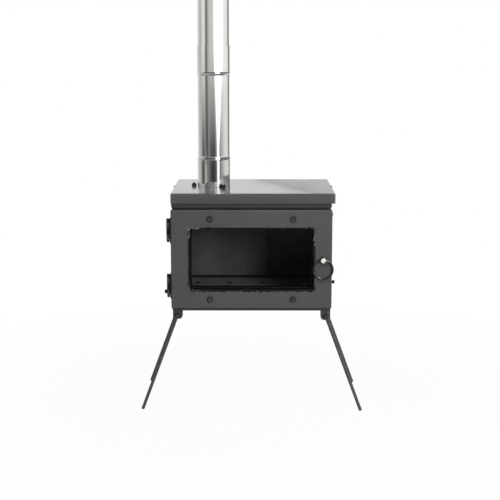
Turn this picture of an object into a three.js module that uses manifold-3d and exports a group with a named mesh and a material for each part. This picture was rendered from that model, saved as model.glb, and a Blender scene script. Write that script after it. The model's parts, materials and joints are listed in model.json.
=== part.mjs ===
// Tent wood stove: a folded steel firebox on four folding rod legs, with a glazed side-hinged door,
// a wire-ring latch, a sliding air shutter and a plug-together steel chimney.
//
// Millimetres. +X is to the right, +Y to the back and +Z up, seen by someone facing the door.
// The origin lies on the floor, under the middle of the cooking top.

import * as THREE from "three";
import { mergeVertices } from "three/addons/utils/BufferGeometryUtils.js";
import Module from "manifold-3d";

const wasm = await Module();
wasm.setup();

// ---------------------------------------------------------------------------------------------
// Driving dimensions
// ---------------------------------------------------------------------------------------------

const SEAM = 0.25; // play between two separate pieces that lie on each other
const HOLE_PLAY = 0.3; // radial play of a screw in its hole

// Firebox: floor and sides in one folded sheet, a front frame and a back panel
const SHEET = 2;
const BEND = 2; // inside radius of a fold
const BODY_WIDTH = 295;
const BODY_DEPTH = 220;
const BODY_HEIGHT = 191;
const BODY_LIFT = 196; // floor to the underside of the firebox
const BODY_SETBACK = 6; // the firebox lies this far behind the middle of the cooking top
const WALL_FLANGE = 10; // the side walls' tops are folded in
const PANEL_RIM = 12; // the back panel's rim

// Opening in the front frame
const OPENING_MARGIN = { side: 4.8, bottom: 3.8, top: 3.6 }; // its edges inside the door's window
const OPENING_FLANGE = 14; // folded in round the opening
const OPENING_CORNER = 4;

// Rail between the firebox and the cooking top
const RAIL_HEIGHT = 11.5; // the band that shows
const RAIL_OVERHANG = 9; // in front of the front frame
const RAIL_STEP = 4; // its upstand lies this far inside the band
const RAIL_FLANGE = 10; // at the top of the upstand, under the cooking top
const RAIL_BEND = 4.5;
const RAIL_CORNER = 7;

// Cooking top: a tray turned upside down over the rail
const TOP_OVERHANG = { left: 0.4, right: 5.6, front: 7, back: 4 }; // past the rail
const TOP_RIM = 18.5;
const TOP_CORNER = 4;
const TOP_BEND = 2.5; // outside radius of the fold along the rim
const LID_SCREW_INSET = 70; // of the two screws in its rim, from its back edge
const LID_SCREW_RISE = 10; // above the rim's lower edge
const LID_SCREW_HEAD = 4.2; // height
const LID_SCREW_GRIP = 3; // past the rail's upstand

// Fire grate
const GRATE_HEIGHT = 22; // its surface above the underside of the firebox
const GRATE_SIDE_PLAY = 3; // beside the walls
const GRATE_HOLE_RADIUS = 5.75;
const GRATE_PITCH_X = 63;
const GRATE_PITCH_Y = 60;
const GRATE_COLUMNS = 4;
const GRATE_ROWS = 3;
const GRATE_HOLES_X = -11.5; // middle of the hole pattern
const GRATE_HOLES_Y = -8;

// Screw on the right wall that holds a tab of the front frame
const FRAME_SCREW_INSET = 5; // behind the side walls' front edges
const FRAME_SCREW_DROP = 11; // below the top of the firebox
const TAB_SIZE = 10;

// Chimney
const FLUE_X = -72;
const FLUE_Y = 3;
const PIPE_RADIUS = 30.15; // outside, between the beads of the lower section
const PIPE_WALL = 0.6;
const SLEEVE_SWELL = 0.85; // the base sleeve is this much larger in radius
const BELL_SWELL = 0.7; // and so is the bell at a section's top
const PIPE_FIT = 0.55; // radial play where one tube plugs into another
const SLEEVE_HEIGHT = 53.6;
const PIPE_BARREL = 159.8; // between the two beads
const BELL_HEIGHT = 52.2;
const BEAD_HEIGHT = 5.5;
const BEAD_PROUD = 1.3;
const SPIGOT_HEIGHT = 40; // above the cooking top
const SPIGOT_WALL = 1.2;
const FLUE_FLANGE_RADIUS = 45;
const FLUE_BOLT_CIRCLE = 38;
const FLUE_BOLTS = 3;
const CAP_HEXAGON = { radius: 4.6, height: 3.2 }; // of the cap nuts round the chimney's foot
const CAP_DOME = { radius: 3.9, top: 6.4 };

// Door
const DOOR_OVERHANG = 0.5; // past the firebox's sides
const DOOR_DEPTH = 14; // of the pan
const DOOR_SHEET = 2;
const DOOR_BEND = 2.5; // outside radius of the fold along its edges
const DOOR_CORNER = 2.5;
const DOOR_RISE = 7; // its lower edge above the underside of the firebox
const DOOR_DROP = 0.5; // its upper edge below the top of the firebox
const DOOR_GAP = 0.3; // behind it, to the front frame
const WINDOW_MARGIN = { side: 32.7, bottom: 33.7, top: 32.9 }; // from the door's edges
const WINDOW_CORNER = 4;
const GASKET = 0.8;
const GLASS = 4;
const GLASS_LAP = 6.5; // behind the door all round the window
const CLAMP_SHEET = 1.6;
const CLAMP_LENGTH = 204;
const CLAMP_FOOT = 8; // reaches this far past the screws
const SCREW_ROW = 16; // from the window's edge
const SCREW_SPACING = 153;
const WELD_NUT_HEIGHT = 4;
const WELD_NUT_M6 = 5; // radius

// Hinges
const LEAF = 1.7;
const LEAF_SLOPE = 3; // its ends are cut at 45 degrees over this height
const KNUCKLE_RADIUS = 3;
const PIN_PLAY = 0.1;
const HINGE_BACKSET = 7.3; // the axis behind the door's face
const HINGE_RISE = 40.8; // middle of the lower hinge above the door's lower edge
const HINGE_DROP = 39.5; // middle of the upper hinge below the door's upper edge
const DOOR_KNUCKLE = 13.7;
const BODY_KNUCKLE = 8;
const KNUCKLE_GAP = 0.3;
const HINGE_BOLT_HEAD = 7.6;
const HINGE_NUT = 4.5;
const HINGE_CAP_RADIUS = 2.9; // of the bolt's head and nut
const BODY_LEAF_DEPTH = 18;
const LOCK_BOSS_RADIUS = 3;
const LOCK_SCREW_BACKSET = 6; // behind the hinge axis
const LOCK_SCREW_LENGTH = 2;
const LOCK_SCREW_HEAD = 4.4; // height
const HINGE_STEM = 0.8; // the bolt reaches this far past its nut
const DOOR_LEAF_SETBACK = { front: 1.2, back: 3.2 }; // from the door pan's face and rim

// Latch
const LATCH_INSET = 16.4; // its axis from the door's right edge
const LATCH_RISE = 90.5; // above the door's lower edge
const RING_DIAMETER = 39;
const RING_WIRE = 3.6;
const EYE_RADIUS = 6.8;
const SPACER = 1; // between the ring's eye and the door
const SPACER_RADIUS = 6;
const CAM_THICKNESS = 3;
const CAM_REACH = 9.5;
const CAM_WIDTH = 9;
const LATCH_NUT_HEIGHT = 2.6;
const LATCH_NUT_CLEARANCE = 0.45; // to the front frame
const KEEPER_SHEET = 1.5;
const KEEPER_HEIGHT = 24;
const KEEPER_OVERLAP = 3.6; // of the lip on the turned cam
const KEEPER_PLAY = 1; // between the lip and the turned cam

// Air shutter on the right wall
const SHUTTER_SHEET = 1.5;
const AIR_RISE = 34; // its middle above the underside of the firebox
const AIR_SLOTS = 4;
const AIR_SLOT_PITCH = 30;
const AIR_SLOT_LENGTH = 14;
const AIR_SLOT_HEIGHT = 8;
const SHUTTER_MARGIN = 5; // beyond the slots
const AIR_TRAVEL = 15;
const GUIDE_SHEET = 1.3;
const GUIDE_LIP = 3; // laps over the shutter
const GUIDE_FOOT = 7;
const KNOB_RADIUS = 3.5;
const KNOB_LENGTH = 11.5;

// Legs
const PIVOT_INSET = 8.8; // of the leg bolts from the side walls' outer faces
const PIVOT_DROP = 11.5; // below the firebox
const SPLAY = 20.5; // degrees from the vertical
const ROD_RADIUS = 3;
const EYE_OF_LEG = 5.5; // radius
const BRACKET_SHEET = 1.8;
const BRACKET_WIDTH = 18;
const BRACKET_DROP = 18.5;
const BRACKET_CORNER = 6;
const LEG_PLAY = 0.5; // beside the rod, in its bracket
const LEG_INSET = 8.7; // the right legs' middles from the firebox's front and back
const LEG_STAGGER = 9; // the left legs lie this far further back, so that folded legs pass

// Screws: radii and heights
const M4 = { shank: 1.9, head: 3.8, height: 2.2, socket: 1.4 };
const M5 = { shank: 2.4, head: 4.7, height: 3, socket: 1.7 };
const M6 = { shank: 2.9, head: 5.5, height: 3, socket: 2.2 };

// How finely curves are divided
const PIPE_SIDES = 32; // of the chimney and the latch ring
const ROUND_SIDES = 16;
const SMALL_SIDES = 12;
const BEND_STEPS = 2;

// ---------------------------------------------------------------------------------------------
// Places that follow from them
// ---------------------------------------------------------------------------------------------

const BODY_RIGHT = BODY_WIDTH / 2;
const BODY_FRONT = BODY_SETBACK - BODY_DEPTH / 2;
const BODY_BACK = BODY_SETBACK + BODY_DEPTH / 2;
const BODY_TOP = BODY_LIFT + BODY_HEIGHT;
const WALL_INSIDE = BODY_RIGHT - SHEET;

const TOP_WIDTH = BODY_WIDTH + TOP_OVERHANG.left + TOP_OVERHANG.right;
const TOP_SHIFT = (TOP_OVERHANG.right - TOP_OVERHANG.left) / 2; // to the right of the firebox's middle
const TOP_FRONT = BODY_FRONT - RAIL_OVERHANG - TOP_OVERHANG.front;
const TOP_BACK = BODY_BACK + TOP_OVERHANG.back;
const TOP_BOTTOM = BODY_TOP + RAIL_HEIGHT;
const TOP_SURFACE = TOP_BOTTOM + TOP_RIM;
const TOP_UNDERSIDE = TOP_SURFACE - SHEET;

const SLEEVE_RADIUS = PIPE_RADIUS + SLEEVE_SWELL;
const BELL_RADIUS = PIPE_RADIUS + BELL_SWELL;
const SPIGOT_RADIUS = SLEEVE_RADIUS - PIPE_WALL - PIPE_FIT;
const PLUG_RADIUS = BELL_RADIUS - PIPE_WALL - PIPE_FIT;
const PIPE_FOOT = TOP_SURFACE + SEAM;

const DOOR_WIDTH = BODY_WIDTH + 2 * DOOR_OVERHANG;
const DOOR_BACK = BODY_FRONT - DOOR_GAP;
const DOOR_FACE = DOOR_BACK - DOOR_DEPTH;
const DOOR_BOTTOM = BODY_LIFT + DOOR_RISE;
const DOOR_TOP = BODY_TOP - DOOR_DROP;
const WINDOW_WIDTH = DOOR_WIDTH - 2 * WINDOW_MARGIN.side;
const WINDOW_BOTTOM = DOOR_BOTTOM + WINDOW_MARGIN.bottom;
const WINDOW_TOP = DOOR_TOP - WINDOW_MARGIN.top;
const OPENING_WIDTH = WINDOW_WIDTH - 2 * OPENING_MARGIN.side;
const OPENING_BOTTOM = WINDOW_BOTTOM + OPENING_MARGIN.bottom;
const OPENING_TOP = WINDOW_TOP - OPENING_MARGIN.top;

// Layers behind the door's face
const GASKET_FRONT = DOOR_FACE + DOOR_SHEET + SEAM;
const GLASS_FRONT = GASKET_FRONT + GASKET + SEAM;
const GLASS_BACK = GLASS_FRONT + GLASS;
const ROPE_RADIUS = (DOOR_BACK - GLASS_BACK - SEAM) / 2;
const ROPE_Y = DOOR_BACK - ROPE_RADIUS;

const HINGE_X = -DOOR_WIDTH / 2 - LEAF - 2 * SEAM - KNUCKLE_RADIUS;
const HINGE_Y = DOOR_FACE + HINGE_BACKSET;
const HINGE_Z = { lower: DOOR_BOTTOM + HINGE_RISE, upper: DOOR_TOP - HINGE_DROP };
const PIN_BORE = M4.shank + PIN_PLAY;

const LATCH_X = DOOR_WIDTH / 2 - LATCH_INSET;
const LATCH_Z = DOOR_BOTTOM + LATCH_RISE;
const AIR_Z = BODY_LIFT + AIR_RISE;
const PIVOT_X = BODY_RIGHT - PIVOT_INSET;
const PIVOT_Z = BODY_LIFT - PIVOT_DROP;

// ---------------------------------------------------------------------------------------------
// Finishes
// ---------------------------------------------------------------------------------------------

function finish(color, roughness, metalness) {
  return new THREE.MeshStandardMaterial({ color, roughness, metalness });
}

const GREY_PAINT = finish(0x545454, 0.55, 0.2);
const BARE_STEEL = finish(0x3c3a38, 0.7, 0.5);
const STAINLESS = finish(0xcfcfcd, 0.12, 1);
const BLACK_OXIDE = finish(0x161616, 0.4, 0.6);
const BRIGHT_STEEL = finish(0xd8d6d0, 0.2, 1);
const BLACK_WIRE = finish(0x0c0c0c, 0.25, 0.3);
const FIBRE = finish(0x0b0b0b, 0.95, 0);
const CLEAR_GLASS = finish(0x20201e, 0.05, 0);

// ---------------------------------------------------------------------------------------------
// Shapes: each returns a closed solid
// ---------------------------------------------------------------------------------------------

// A closed geometry as a solid that can be joined and cut.
function solid(geometry) {
  const bare = geometry.clone();
  bare.deleteAttribute("normal");
  bare.deleteAttribute("uv");
  const merged = mergeVertices(bare, 1e-4);
  const vertProperties = new Float32Array(merged.attributes.position.array);
  const triVerts = new Uint32Array(merged.index.array);
  return new wasm.Manifold(new wasm.Mesh({ numProp: 3, vertProperties, triVerts }));
}

function box(x0, x1, y0, y1, z0, z1) {
  const geometry = new THREE.BoxGeometry(x1 - x0, y1 - y0, z1 - z0);
  geometry.translate((x0 + x1) / 2, (y0 + y1) / 2, (z0 + z1) / 2);
  return solid(geometry);
}

// A cylinder along X, Y or Z from one coordinate to another, round a point given as [x, y, z].
function cylinder(axis, radius, from, to, centre, sides = ROUND_SIDES) {
  const geometry = new THREE.CylinderGeometry(radius, radius, to - from, sides);
  const middle = new THREE.Vector3(...centre);
  if (axis === "x") geometry.rotateZ(-Math.PI / 2);
  if (axis === "z") geometry.rotateX(Math.PI / 2);
  middle[axis] = (from + to) / 2;
  geometry.translate(middle.x, middle.y, middle.z);
  return solid(geometry);
}

// A screw's clearance hole, to be cut from a sheet.
function screwHole(axis, { shank }, from, to, centre) {
  return cylinder(axis, shank + HOLE_PLAY, from, to, centre, SMALL_SIDES);
}

// A profile of [radius, height] points, anticlockwise, turned round the Z axis.
function revolve(profile, sides = ROUND_SIDES) {
  const geometry = new THREE.LatheGeometry(
    profile.map(([radius, height]) => new THREE.Vector2(radius, height)),
    sides,
  );
  return solid(geometry.rotateX(Math.PI / 2));
}

// A shape pushed from one coordinate to another along X (drawn in Y, Z), Y (drawn in X, Z) or Z (in X, Y).
function extrude(shape, axis, from, to) {
  const depth = to - from;
  const geometry = new THREE.ExtrudeGeometry(shape, { depth, bevelEnabled: false, curveSegments: 2 });
  if (axis === "x") {
    const [x, y, z] = [new THREE.Vector3(1, 0, 0), new THREE.Vector3(0, 1, 0), new THREE.Vector3(0, 0, 1)];
    geometry.applyMatrix4(new THREE.Matrix4().makeBasis(y, z, x));
    geometry.translate(from, 0, 0);
  }
  if (axis === "y") geometry.rotateX(Math.PI / 2).translate(0, to, 0);
  if (axis === "z") geometry.translate(0, 0, from);
  return solid(geometry);
}

function roundedRect(x0, x1, y0, y1, radius) {
  const shape = new THREE.Shape();
  shape.moveTo(x0 + radius, y0);
  shape.absarc(x1 - radius, y0 + radius, radius, -Math.PI / 2, 0);
  shape.absarc(x1 - radius, y1 - radius, radius, 0, Math.PI / 2);
  shape.absarc(x0 + radius, y1 - radius, radius, Math.PI / 2, Math.PI);
  shape.absarc(x0 + radius, y0 + radius, radius, Math.PI, Math.PI * 1.5);
  return shape;
}

// The section of a bent sheet. The points are one face of the sheet, which lies to their left, and every
// fold has the same inside radius.
function bentSheet(points, thickness, insideRadius) {
  const corners = points.map(([u, v]) => new THREE.Vector2(u, v));
  const runs = corners.slice(1).map((corner, i) => corner.clone().sub(corners[i]).normalize());
  const left = (run) => new THREE.Vector2(-run.y, run.x);
  const face = [corners[0].clone()];
  const back = [corners[0].clone().addScaledVector(left(runs[0]), thickness)];
  for (let i = 1; i < corners.length - 1; i++) {
    const [before, after] = [runs[i - 1], runs[i]];
    const turn = before.cross(after) > 0 ? 1 : -1;
    const angle = before.angleTo(after);
    const faceRadius = turn > 0 ? insideRadius + thickness : insideRadius;
    const backRadius = turn > 0 ? insideRadius : insideRadius + thickness;
    const centre = corners[i]
      .clone()
      .addScaledVector(before, -faceRadius * Math.tan(angle / 2))
      .addScaledVector(left(before), turn * faceRadius);
    const start = left(before).multiplyScalar(-turn);
    for (let k = 0; k <= BEND_STEPS; k++) {
      const spoke = start.clone().rotateAround(new THREE.Vector2(), (turn * angle * k) / BEND_STEPS);
      face.push(centre.clone().addScaledVector(spoke, faceRadius));
      back.push(centre.clone().addScaledVector(spoke, backRadius));
    }
  }
  const [end, lastRun] = [corners.at(-1), runs.at(-1)];
  face.push(end.clone());
  back.push(end.clone().addScaledVector(left(lastRun), thickness));
  return new THREE.Shape([...face, ...back.reverse()]);
}

// One ring of points round a rectangle with rounded corners, anticlockwise seen from +Z, drawn in from
// the rectangle's edge by an inset.
function ringOf({ x0, x1, y0, y1, corner }, inset, z) {
  const radius = Math.max(corner - inset, 0.3);
  const reach = inset + radius;
  const centres = [
    [x1 - reach, y0 + reach],
    [x1 - reach, y1 - reach],
    [x0 + reach, y1 - reach],
    [x0 + reach, y0 + reach],
  ];
  return centres.flatMap(([x, y], quarter) =>
    Array.from({ length: BEND_STEPS + 1 }, (_, k) => {
      const angle = (quarter - 1 + k / BEND_STEPS) * (Math.PI / 2);
      return [x + radius * Math.cos(angle), y + radius * Math.sin(angle), z];
    }),
  );
}

// A skin over rings of equal point counts, from the first to the last. A loop joins the last ring to the
// first, and otherwise both ends are closed by flat faces.
function loft(rings, loop = false) {
  const count = rings[0].length;
  const faces = [];
  const bands = loop ? rings.length : rings.length - 1;
  for (let band = 0; band < bands; band++) {
    const [low, high] = [band * count, ((band + 1) % rings.length) * count];
    for (let i = 0; i < count; i++) {
      const next = (i + 1) % count;
      faces.push(low + i, low + next, high + next, low + i, high + next, high + i);
    }
  }
  const last = (rings.length - 1) * count;
  for (let i = 1; i < count - 1 && !loop; i++) {
    faces.push(0, i + 1, i);
    faces.push(last, last + i, last + i + 1);
  }
  const geometry = new THREE.BufferGeometry();
  geometry.setAttribute("position", new THREE.Float32BufferAttribute(rings.flat(2), 3));
  geometry.setIndex(faces);
  return geometry;
}

// A tray pressed from sheet: its floor lies at z = depth and faces +Z, and its rim ends at z = 0.
function tray(outline, depth, sheet, bend) {
  const inner = Math.max(bend - sheet, 0.3);
  const rings = [];
  for (let k = 0; k <= BEND_STEPS; k++) {
    const angle = ((1 - k / BEND_STEPS) * Math.PI) / 2;
    const inset = sheet + inner * (1 - Math.cos(angle));
    rings.push(ringOf(outline, inset, depth - sheet - inner * (1 - Math.sin(angle))));
  }
  rings.push(ringOf(outline, sheet, 0), ringOf(outline, 0, 0));
  for (let k = 0; k <= BEND_STEPS; k++) {
    const angle = (k / BEND_STEPS) * (Math.PI / 2);
    rings.push(ringOf(outline, bend * (1 - Math.cos(angle)), depth - bend * (1 - Math.sin(angle))));
  }
  return loft(rings);
}

// A screw along Z: a domed head above z = 0 with a hexagon socket, and its shank below.
function screw({ shank, head, height, socket }, length, headHeight = height) {
  const turned = revolve(
    [
      [0, -length],
      [shank, -length],
      [shank, 0],
      [head, 0],
      [head, headHeight * 0.4],
      [head * 0.86, headHeight * 0.82],
      [head * 0.6, headHeight],
      [0, headHeight],
    ],
    SMALL_SIDES,
  );
  const recess = cylinder("z", socket, headHeight * 0.45, headHeight + 1, [0, 0, 0], 6);
  return turned.subtract(recess);
}

// A hexagonal prism along Z with a round bore.
function nut(radius, height, bore) {
  const prism = cylinder("z", radius, 0, height, [0, 0, 0], 6);
  return prism.subtract(cylinder("z", bore, -1, height + 1, [0, 0, 0], SMALL_SIDES));
}

// A named mesh of a solid or a closed geometry, with its place and turn.
function piece(name, form, material, place = [0, 0, 0], turn = [0, 0, 0]) {
  const shape = form.isBufferGeometry ? solid(form) : form;
  const mesh = shape.getMesh();
  const indexed = new THREE.BufferGeometry();
  indexed.setAttribute("position", new THREE.BufferAttribute(mesh.vertProperties, 3));
  indexed.setIndex(new THREE.BufferAttribute(mesh.triVerts, 1));
  const geometry = indexed.toNonIndexed();
  geometry.computeVertexNormals();
  const made = new THREE.Mesh(geometry, material);
  made.name = name;
  made.position.set(...place);
  made.rotation.set(...turn);
  return made;
}

// Turns that point a piece's +Z elsewhere
const TO_FRONT = [Math.PI / 2, 0, 0];
const TO_BACK = [-Math.PI / 2, 0, 0];
const TO_RIGHT = [0, Math.PI / 2, 0];
const TO_LEFT = [0, -Math.PI / 2, 0];

// ---------------------------------------------------------------------------------------------
// Firebox
// ---------------------------------------------------------------------------------------------

const FRAME_SCREW = { y: BODY_FRONT + SHEET + FRAME_SCREW_INSET, z: BODY_TOP - FRAME_SCREW_DROP };

function airSlots(x0, x1) {
  const first = (-AIR_SLOT_PITCH * (AIR_SLOTS - 1)) / 2;
  const [z0, z1] = [AIR_Z - AIR_SLOT_HEIGHT / 2, AIR_Z + AIR_SLOT_HEIGHT / 2];
  return Array.from({ length: AIR_SLOTS }, (_, i) => {
    const y = first + i * AIR_SLOT_PITCH;
    const [y0, y1] = [y - AIR_SLOT_LENGTH / 2, y + AIR_SLOT_LENGTH / 2];
    return extrude(roundedRect(y0, y1, z0, z1, AIR_SLOT_HEIGHT / 2 - 0.01), "x", x0, x1);
  });
}

function fireboxWrap() {
  const section = bentSheet(
    [
      [-BODY_RIGHT + WALL_FLANGE, BODY_TOP],
      [-BODY_RIGHT, BODY_TOP],
      [-BODY_RIGHT, BODY_LIFT],
      [BODY_RIGHT, BODY_LIFT],
      [BODY_RIGHT, BODY_TOP],
      [BODY_RIGHT - WALL_FLANGE, BODY_TOP],
    ],
    SHEET,
    BEND,
  );
  let wrap = extrude(section, "y", BODY_FRONT + SHEET + SEAM, BODY_BACK);
  for (const slot of airSlots(WALL_INSIDE - 1, BODY_RIGHT + 1)) wrap = wrap.subtract(slot);
  const { y, z } = FRAME_SCREW;
  return wrap.subtract(screwHole("x", M4, WALL_INSIDE - 1, BODY_RIGHT + 1, [0, y, z]));
}

function frontFrame() {
  const plate = roundedRect(-BODY_RIGHT, BODY_RIGHT, BODY_LIFT, BODY_TOP, BEND + SHEET);
  const half = OPENING_WIDTH / 2;
  const opening = roundedRect(-half, half, OPENING_BOTTOM, OPENING_TOP, OPENING_CORNER);
  const flangeOuter = roundedRect(
    -half - SHEET,
    half + SHEET,
    OPENING_BOTTOM - SHEET,
    OPENING_TOP + SHEET,
    OPENING_CORNER + SHEET,
  );
  const backOfFlange = BODY_FRONT + OPENING_FLANGE;
  const tabX = WALL_INSIDE - SEAM;
  const { y, z } = FRAME_SCREW;
  const tab = box(tabX - SHEET, tabX, BODY_FRONT, y + TAB_SIZE / 2, z - TAB_SIZE / 2, z + TAB_SIZE / 2);
  return extrude(plate, "y", BODY_FRONT, BODY_FRONT + SHEET)
    .add(extrude(flangeOuter, "y", BODY_FRONT, backOfFlange))
    .subtract(extrude(opening, "y", BODY_FRONT - 1, backOfFlange + 1))
    .add(tab)
    .subtract(screwHole("x", M4, tabX - SHEET - 1, tabX + 1, [0, y, z]));
}

function backPanel() {
  const side = WALL_INSIDE - SEAM;
  const outline = {
    x0: -side,
    x1: side,
    y0: -(BODY_TOP - SHEET - SEAM),
    y1: -(BODY_LIFT + SHEET + SEAM),
    corner: BEND + 0.5,
  };
  return tray(outline, PANEL_RIM, SHEET, BEND + SHEET);
}

function topRail() {
  const outline = {
    x0: -BODY_RIGHT,
    x1: BODY_RIGHT,
    y0: BODY_FRONT - RAIL_OVERHANG,
    y1: BODY_BACK,
    corner: RAIL_CORNER,
  };
  const [bottom, ledge, top] = [BODY_TOP + SEAM, TOP_BOTTOM - SEAM, TOP_UNDERSIDE - SEAM];
  const inner = RAIL_STEP + RAIL_FLANGE;
  const profile = [
    [0, ledge],
    [RAIL_STEP, ledge],
    [RAIL_STEP, top],
    [inner, top],
    [inner, top - SHEET],
    [RAIL_STEP + SHEET, top - SHEET],
    [RAIL_STEP + SHEET, ledge - SHEET],
    [SHEET, ledge - SHEET],
    [SHEET, bottom + RAIL_BEND],
    [RAIL_BEND, bottom + SHEET],
    [inner, bottom + SHEET],
    [inner, bottom],
  ];
  for (let k = 0; k <= BEND_STEPS; k++) {
    const angle = (k / BEND_STEPS) * (Math.PI / 2);
    profile.push([RAIL_BEND * (1 - Math.sin(angle)), bottom + RAIL_BEND * (1 - Math.cos(angle))]);
  }
  const ring = solid(
    loft(
      profile.map(([inset, z]) => ringOf(outline, inset, z)),
      true,
    ),
  );
  return ring.subtract(lidScrewHoles());
}

// ---------------------------------------------------------------------------------------------
// Cooking top and flue
// ---------------------------------------------------------------------------------------------

const LID_SCREW = { y: TOP_BACK - LID_SCREW_INSET, z: TOP_BOTTOM + LID_SCREW_RISE };

function lidScrewHoles() {
  const reach = TOP_WIDTH / 2 + TOP_SHIFT + 1;
  const { y, z } = LID_SCREW;
  const right = screwHole("x", M4, BODY_RIGHT / 2, reach, [0, y, z]);
  return right.add(screwHole("x", M4, -reach, -BODY_RIGHT / 2, [0, y, z]));
}

function flueBoltPlaces() {
  return Array.from({ length: FLUE_BOLTS }, (_, i) => {
    const angle = Math.PI * (1 + (2 * i) / FLUE_BOLTS);
    return [FLUE_X + FLUE_BOLT_CIRCLE * Math.cos(angle), FLUE_Y + FLUE_BOLT_CIRCLE * Math.sin(angle)];
  });
}

function topPlate() {
  const half = TOP_WIDTH / 2;
  const outline = {
    x0: TOP_SHIFT - half,
    x1: TOP_SHIFT + half,
    y0: TOP_FRONT,
    y1: TOP_BACK,
    corner: TOP_CORNER,
  };
  let plate = solid(tray(outline, TOP_RIM, SHEET, TOP_BEND).translate(0, 0, TOP_BOTTOM));
  const [low, high] = [TOP_UNDERSIDE - 1, TOP_SURFACE + 1];
  const flueHole = SPIGOT_RADIUS + HOLE_PLAY;
  plate = plate.subtract(cylinder("z", flueHole, low, high, [FLUE_X, FLUE_Y, 0], PIPE_SIDES));
  for (const [x, y] of flueBoltPlaces()) {
    plate = plate.subtract(screwHole("z", M4, low, high, [x, y, 0]));
  }
  return plate.subtract(lidScrewHoles());
}

// Spigot and flange in one, with a weld nut under the flange for each bolt.
function flueCollar() {
  const flangeTop = TOP_UNDERSIDE - SEAM;
  const flangeBottom = flangeTop - SHEET;
  const bore = SPIGOT_RADIUS - SPIGOT_WALL;
  let collar = revolve(
    [
      [bore, flangeBottom],
      [FLUE_FLANGE_RADIUS, flangeBottom],
      [FLUE_FLANGE_RADIUS, flangeTop],
      [SPIGOT_RADIUS, flangeTop],
      [SPIGOT_RADIUS, TOP_SURFACE + SPIGOT_HEIGHT],
      [bore, TOP_SURFACE + SPIGOT_HEIGHT],
      [bore, flangeBottom],
    ],
    PIPE_SIDES,
  );
  for (const [x, y] of flueBoltPlaces()) {
    const [dx, dy] = [x - FLUE_X, y - FLUE_Y];
    const weldNut = nut(M4.head, WELD_NUT_HEIGHT, M4.shank + HOLE_PLAY);
    collar = collar
      .add(weldNut.translate([dx, dy, flangeBottom - WELD_NUT_HEIGHT]))
      .subtract(screwHole("z", M4, flangeBottom - 1, flangeTop + 1, [dx, dy, 0]));
  }
  return collar;
}

// A bolt with a tall domed cap nut above the cooking top and its shank down through the weld nut.
function flueBolt() {
  const length = SEAM + SHEET + SEAM + SHEET + WELD_NUT_HEIGHT;
  const shank = cylinder("z", M4.shank, -length, 1, [0, 0, 0], SMALL_SIDES);
  const hexagon = cylinder("z", CAP_HEXAGON.radius, 0, CAP_HEXAGON.height, [0, 0, 0], 6);
  const start = CAP_HEXAGON.height - 0.2;
  const rise = CAP_DOME.top - start;
  const dome = revolve(
    [
      [0, start],
      [CAP_DOME.radius, start],
      [CAP_DOME.radius * 0.95, start + rise * 0.5],
      [CAP_DOME.radius * 0.67, start + rise * 0.85],
      [0, CAP_DOME.top],
    ],
    SMALL_SIDES,
  );
  return shank.add(hexagon).add(dome);
}

// The wall of a chimney section: the outside from bottom to top, and the same curve back down inside.
// Each stretch is [radius, top height], and a bead lies between two stretches.
function pipeSection(stretches) {
  const outside = [[stretches[0][0], 0]];
  stretches.forEach(([radius, top], i) => {
    if (i === stretches.length - 1) {
      outside.push([radius, top]);
      return;
    }
    const above = stretches[i + 1][0];
    outside.push([radius, top - BEAD_HEIGHT / 2]);
    for (const [share, rise] of [[0.7, -0.3], [1, -0.1], [1, 0.1], [0.7, 0.3]]) {
      const base = rise < 0 ? radius : above;
      outside.push([base + BEAD_PROUD * share, top + BEAD_HEIGHT * rise]);
    }
    outside.push([above, top + BEAD_HEIGHT / 2]);
  });
  const inside = [];
  stretches.forEach(([radius, top], i) => {
    const bottom = i ? stretches[i - 1][1] + BEAD_HEIGHT / 2 : 0;
    const end = i === stretches.length - 1 ? top : top - BEAD_HEIGHT / 2;
    inside.push([radius - PIPE_WALL, bottom], [radius - PIPE_WALL, end]);
  });
  return revolve([...outside, ...inside.reverse(), outside[0]], PIPE_SIDES);
}

const SECTION_TOP_BEAD = SLEEVE_HEIGHT + PIPE_BARREL;
const SECTION_HEIGHT = SECTION_TOP_BEAD + BELL_HEIGHT;
const PLUG_FOOT = SECTION_TOP_BEAD + BEAD_HEIGHT / 2 + SEAM; // of the upper section, above the lower one's

function lowerPipe() {
  return pipeSection([
    [SLEEVE_RADIUS, SLEEVE_HEIGHT],
    [PIPE_RADIUS, SECTION_TOP_BEAD],
    [BELL_RADIUS, SECTION_HEIGHT],
  ]);
}

function upperPipe() {
  return pipeSection([
    [PLUG_RADIUS, SECTION_TOP_BEAD],
    [BELL_RADIUS, SECTION_HEIGHT],
  ]);
}

// ---------------------------------------------------------------------------------------------
// Grate and air shutter
// ---------------------------------------------------------------------------------------------

function fireGrate() {
  const side = WALL_INSIDE - GRATE_SIDE_PLAY;
  const [low, high] = [BODY_LIFT + SHEET + SEAM, BODY_LIFT + GRATE_HEIGHT];
  const section = bentSheet(
    [
      [side, low],
      [side, high],
      [-side, high],
      [-side, low],
    ],
    SHEET,
    BEND,
  );
  const front = BODY_FRONT + SHEET + GRATE_SIDE_PLAY;
  let grate = extrude(section, "y", front, BODY_BACK - PANEL_RIM - GRATE_SIDE_PLAY);
  for (let column = 0; column < GRATE_COLUMNS; column++) {
    for (let row = 0; row < GRATE_ROWS; row++) {
      const x = GRATE_HOLES_X + (column - (GRATE_COLUMNS - 1) / 2) * GRATE_PITCH_X;
      const y = GRATE_HOLES_Y + (row - (GRATE_ROWS - 1) / 2) * GRATE_PITCH_Y;
      const hole = cylinder("z", GRATE_HOLE_RADIUS, high - SHEET - 1, high + 1, [x, y, 0], SMALL_SIDES);
      grate = grate.subtract(hole);
    }
  }
  return grate;
}

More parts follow.
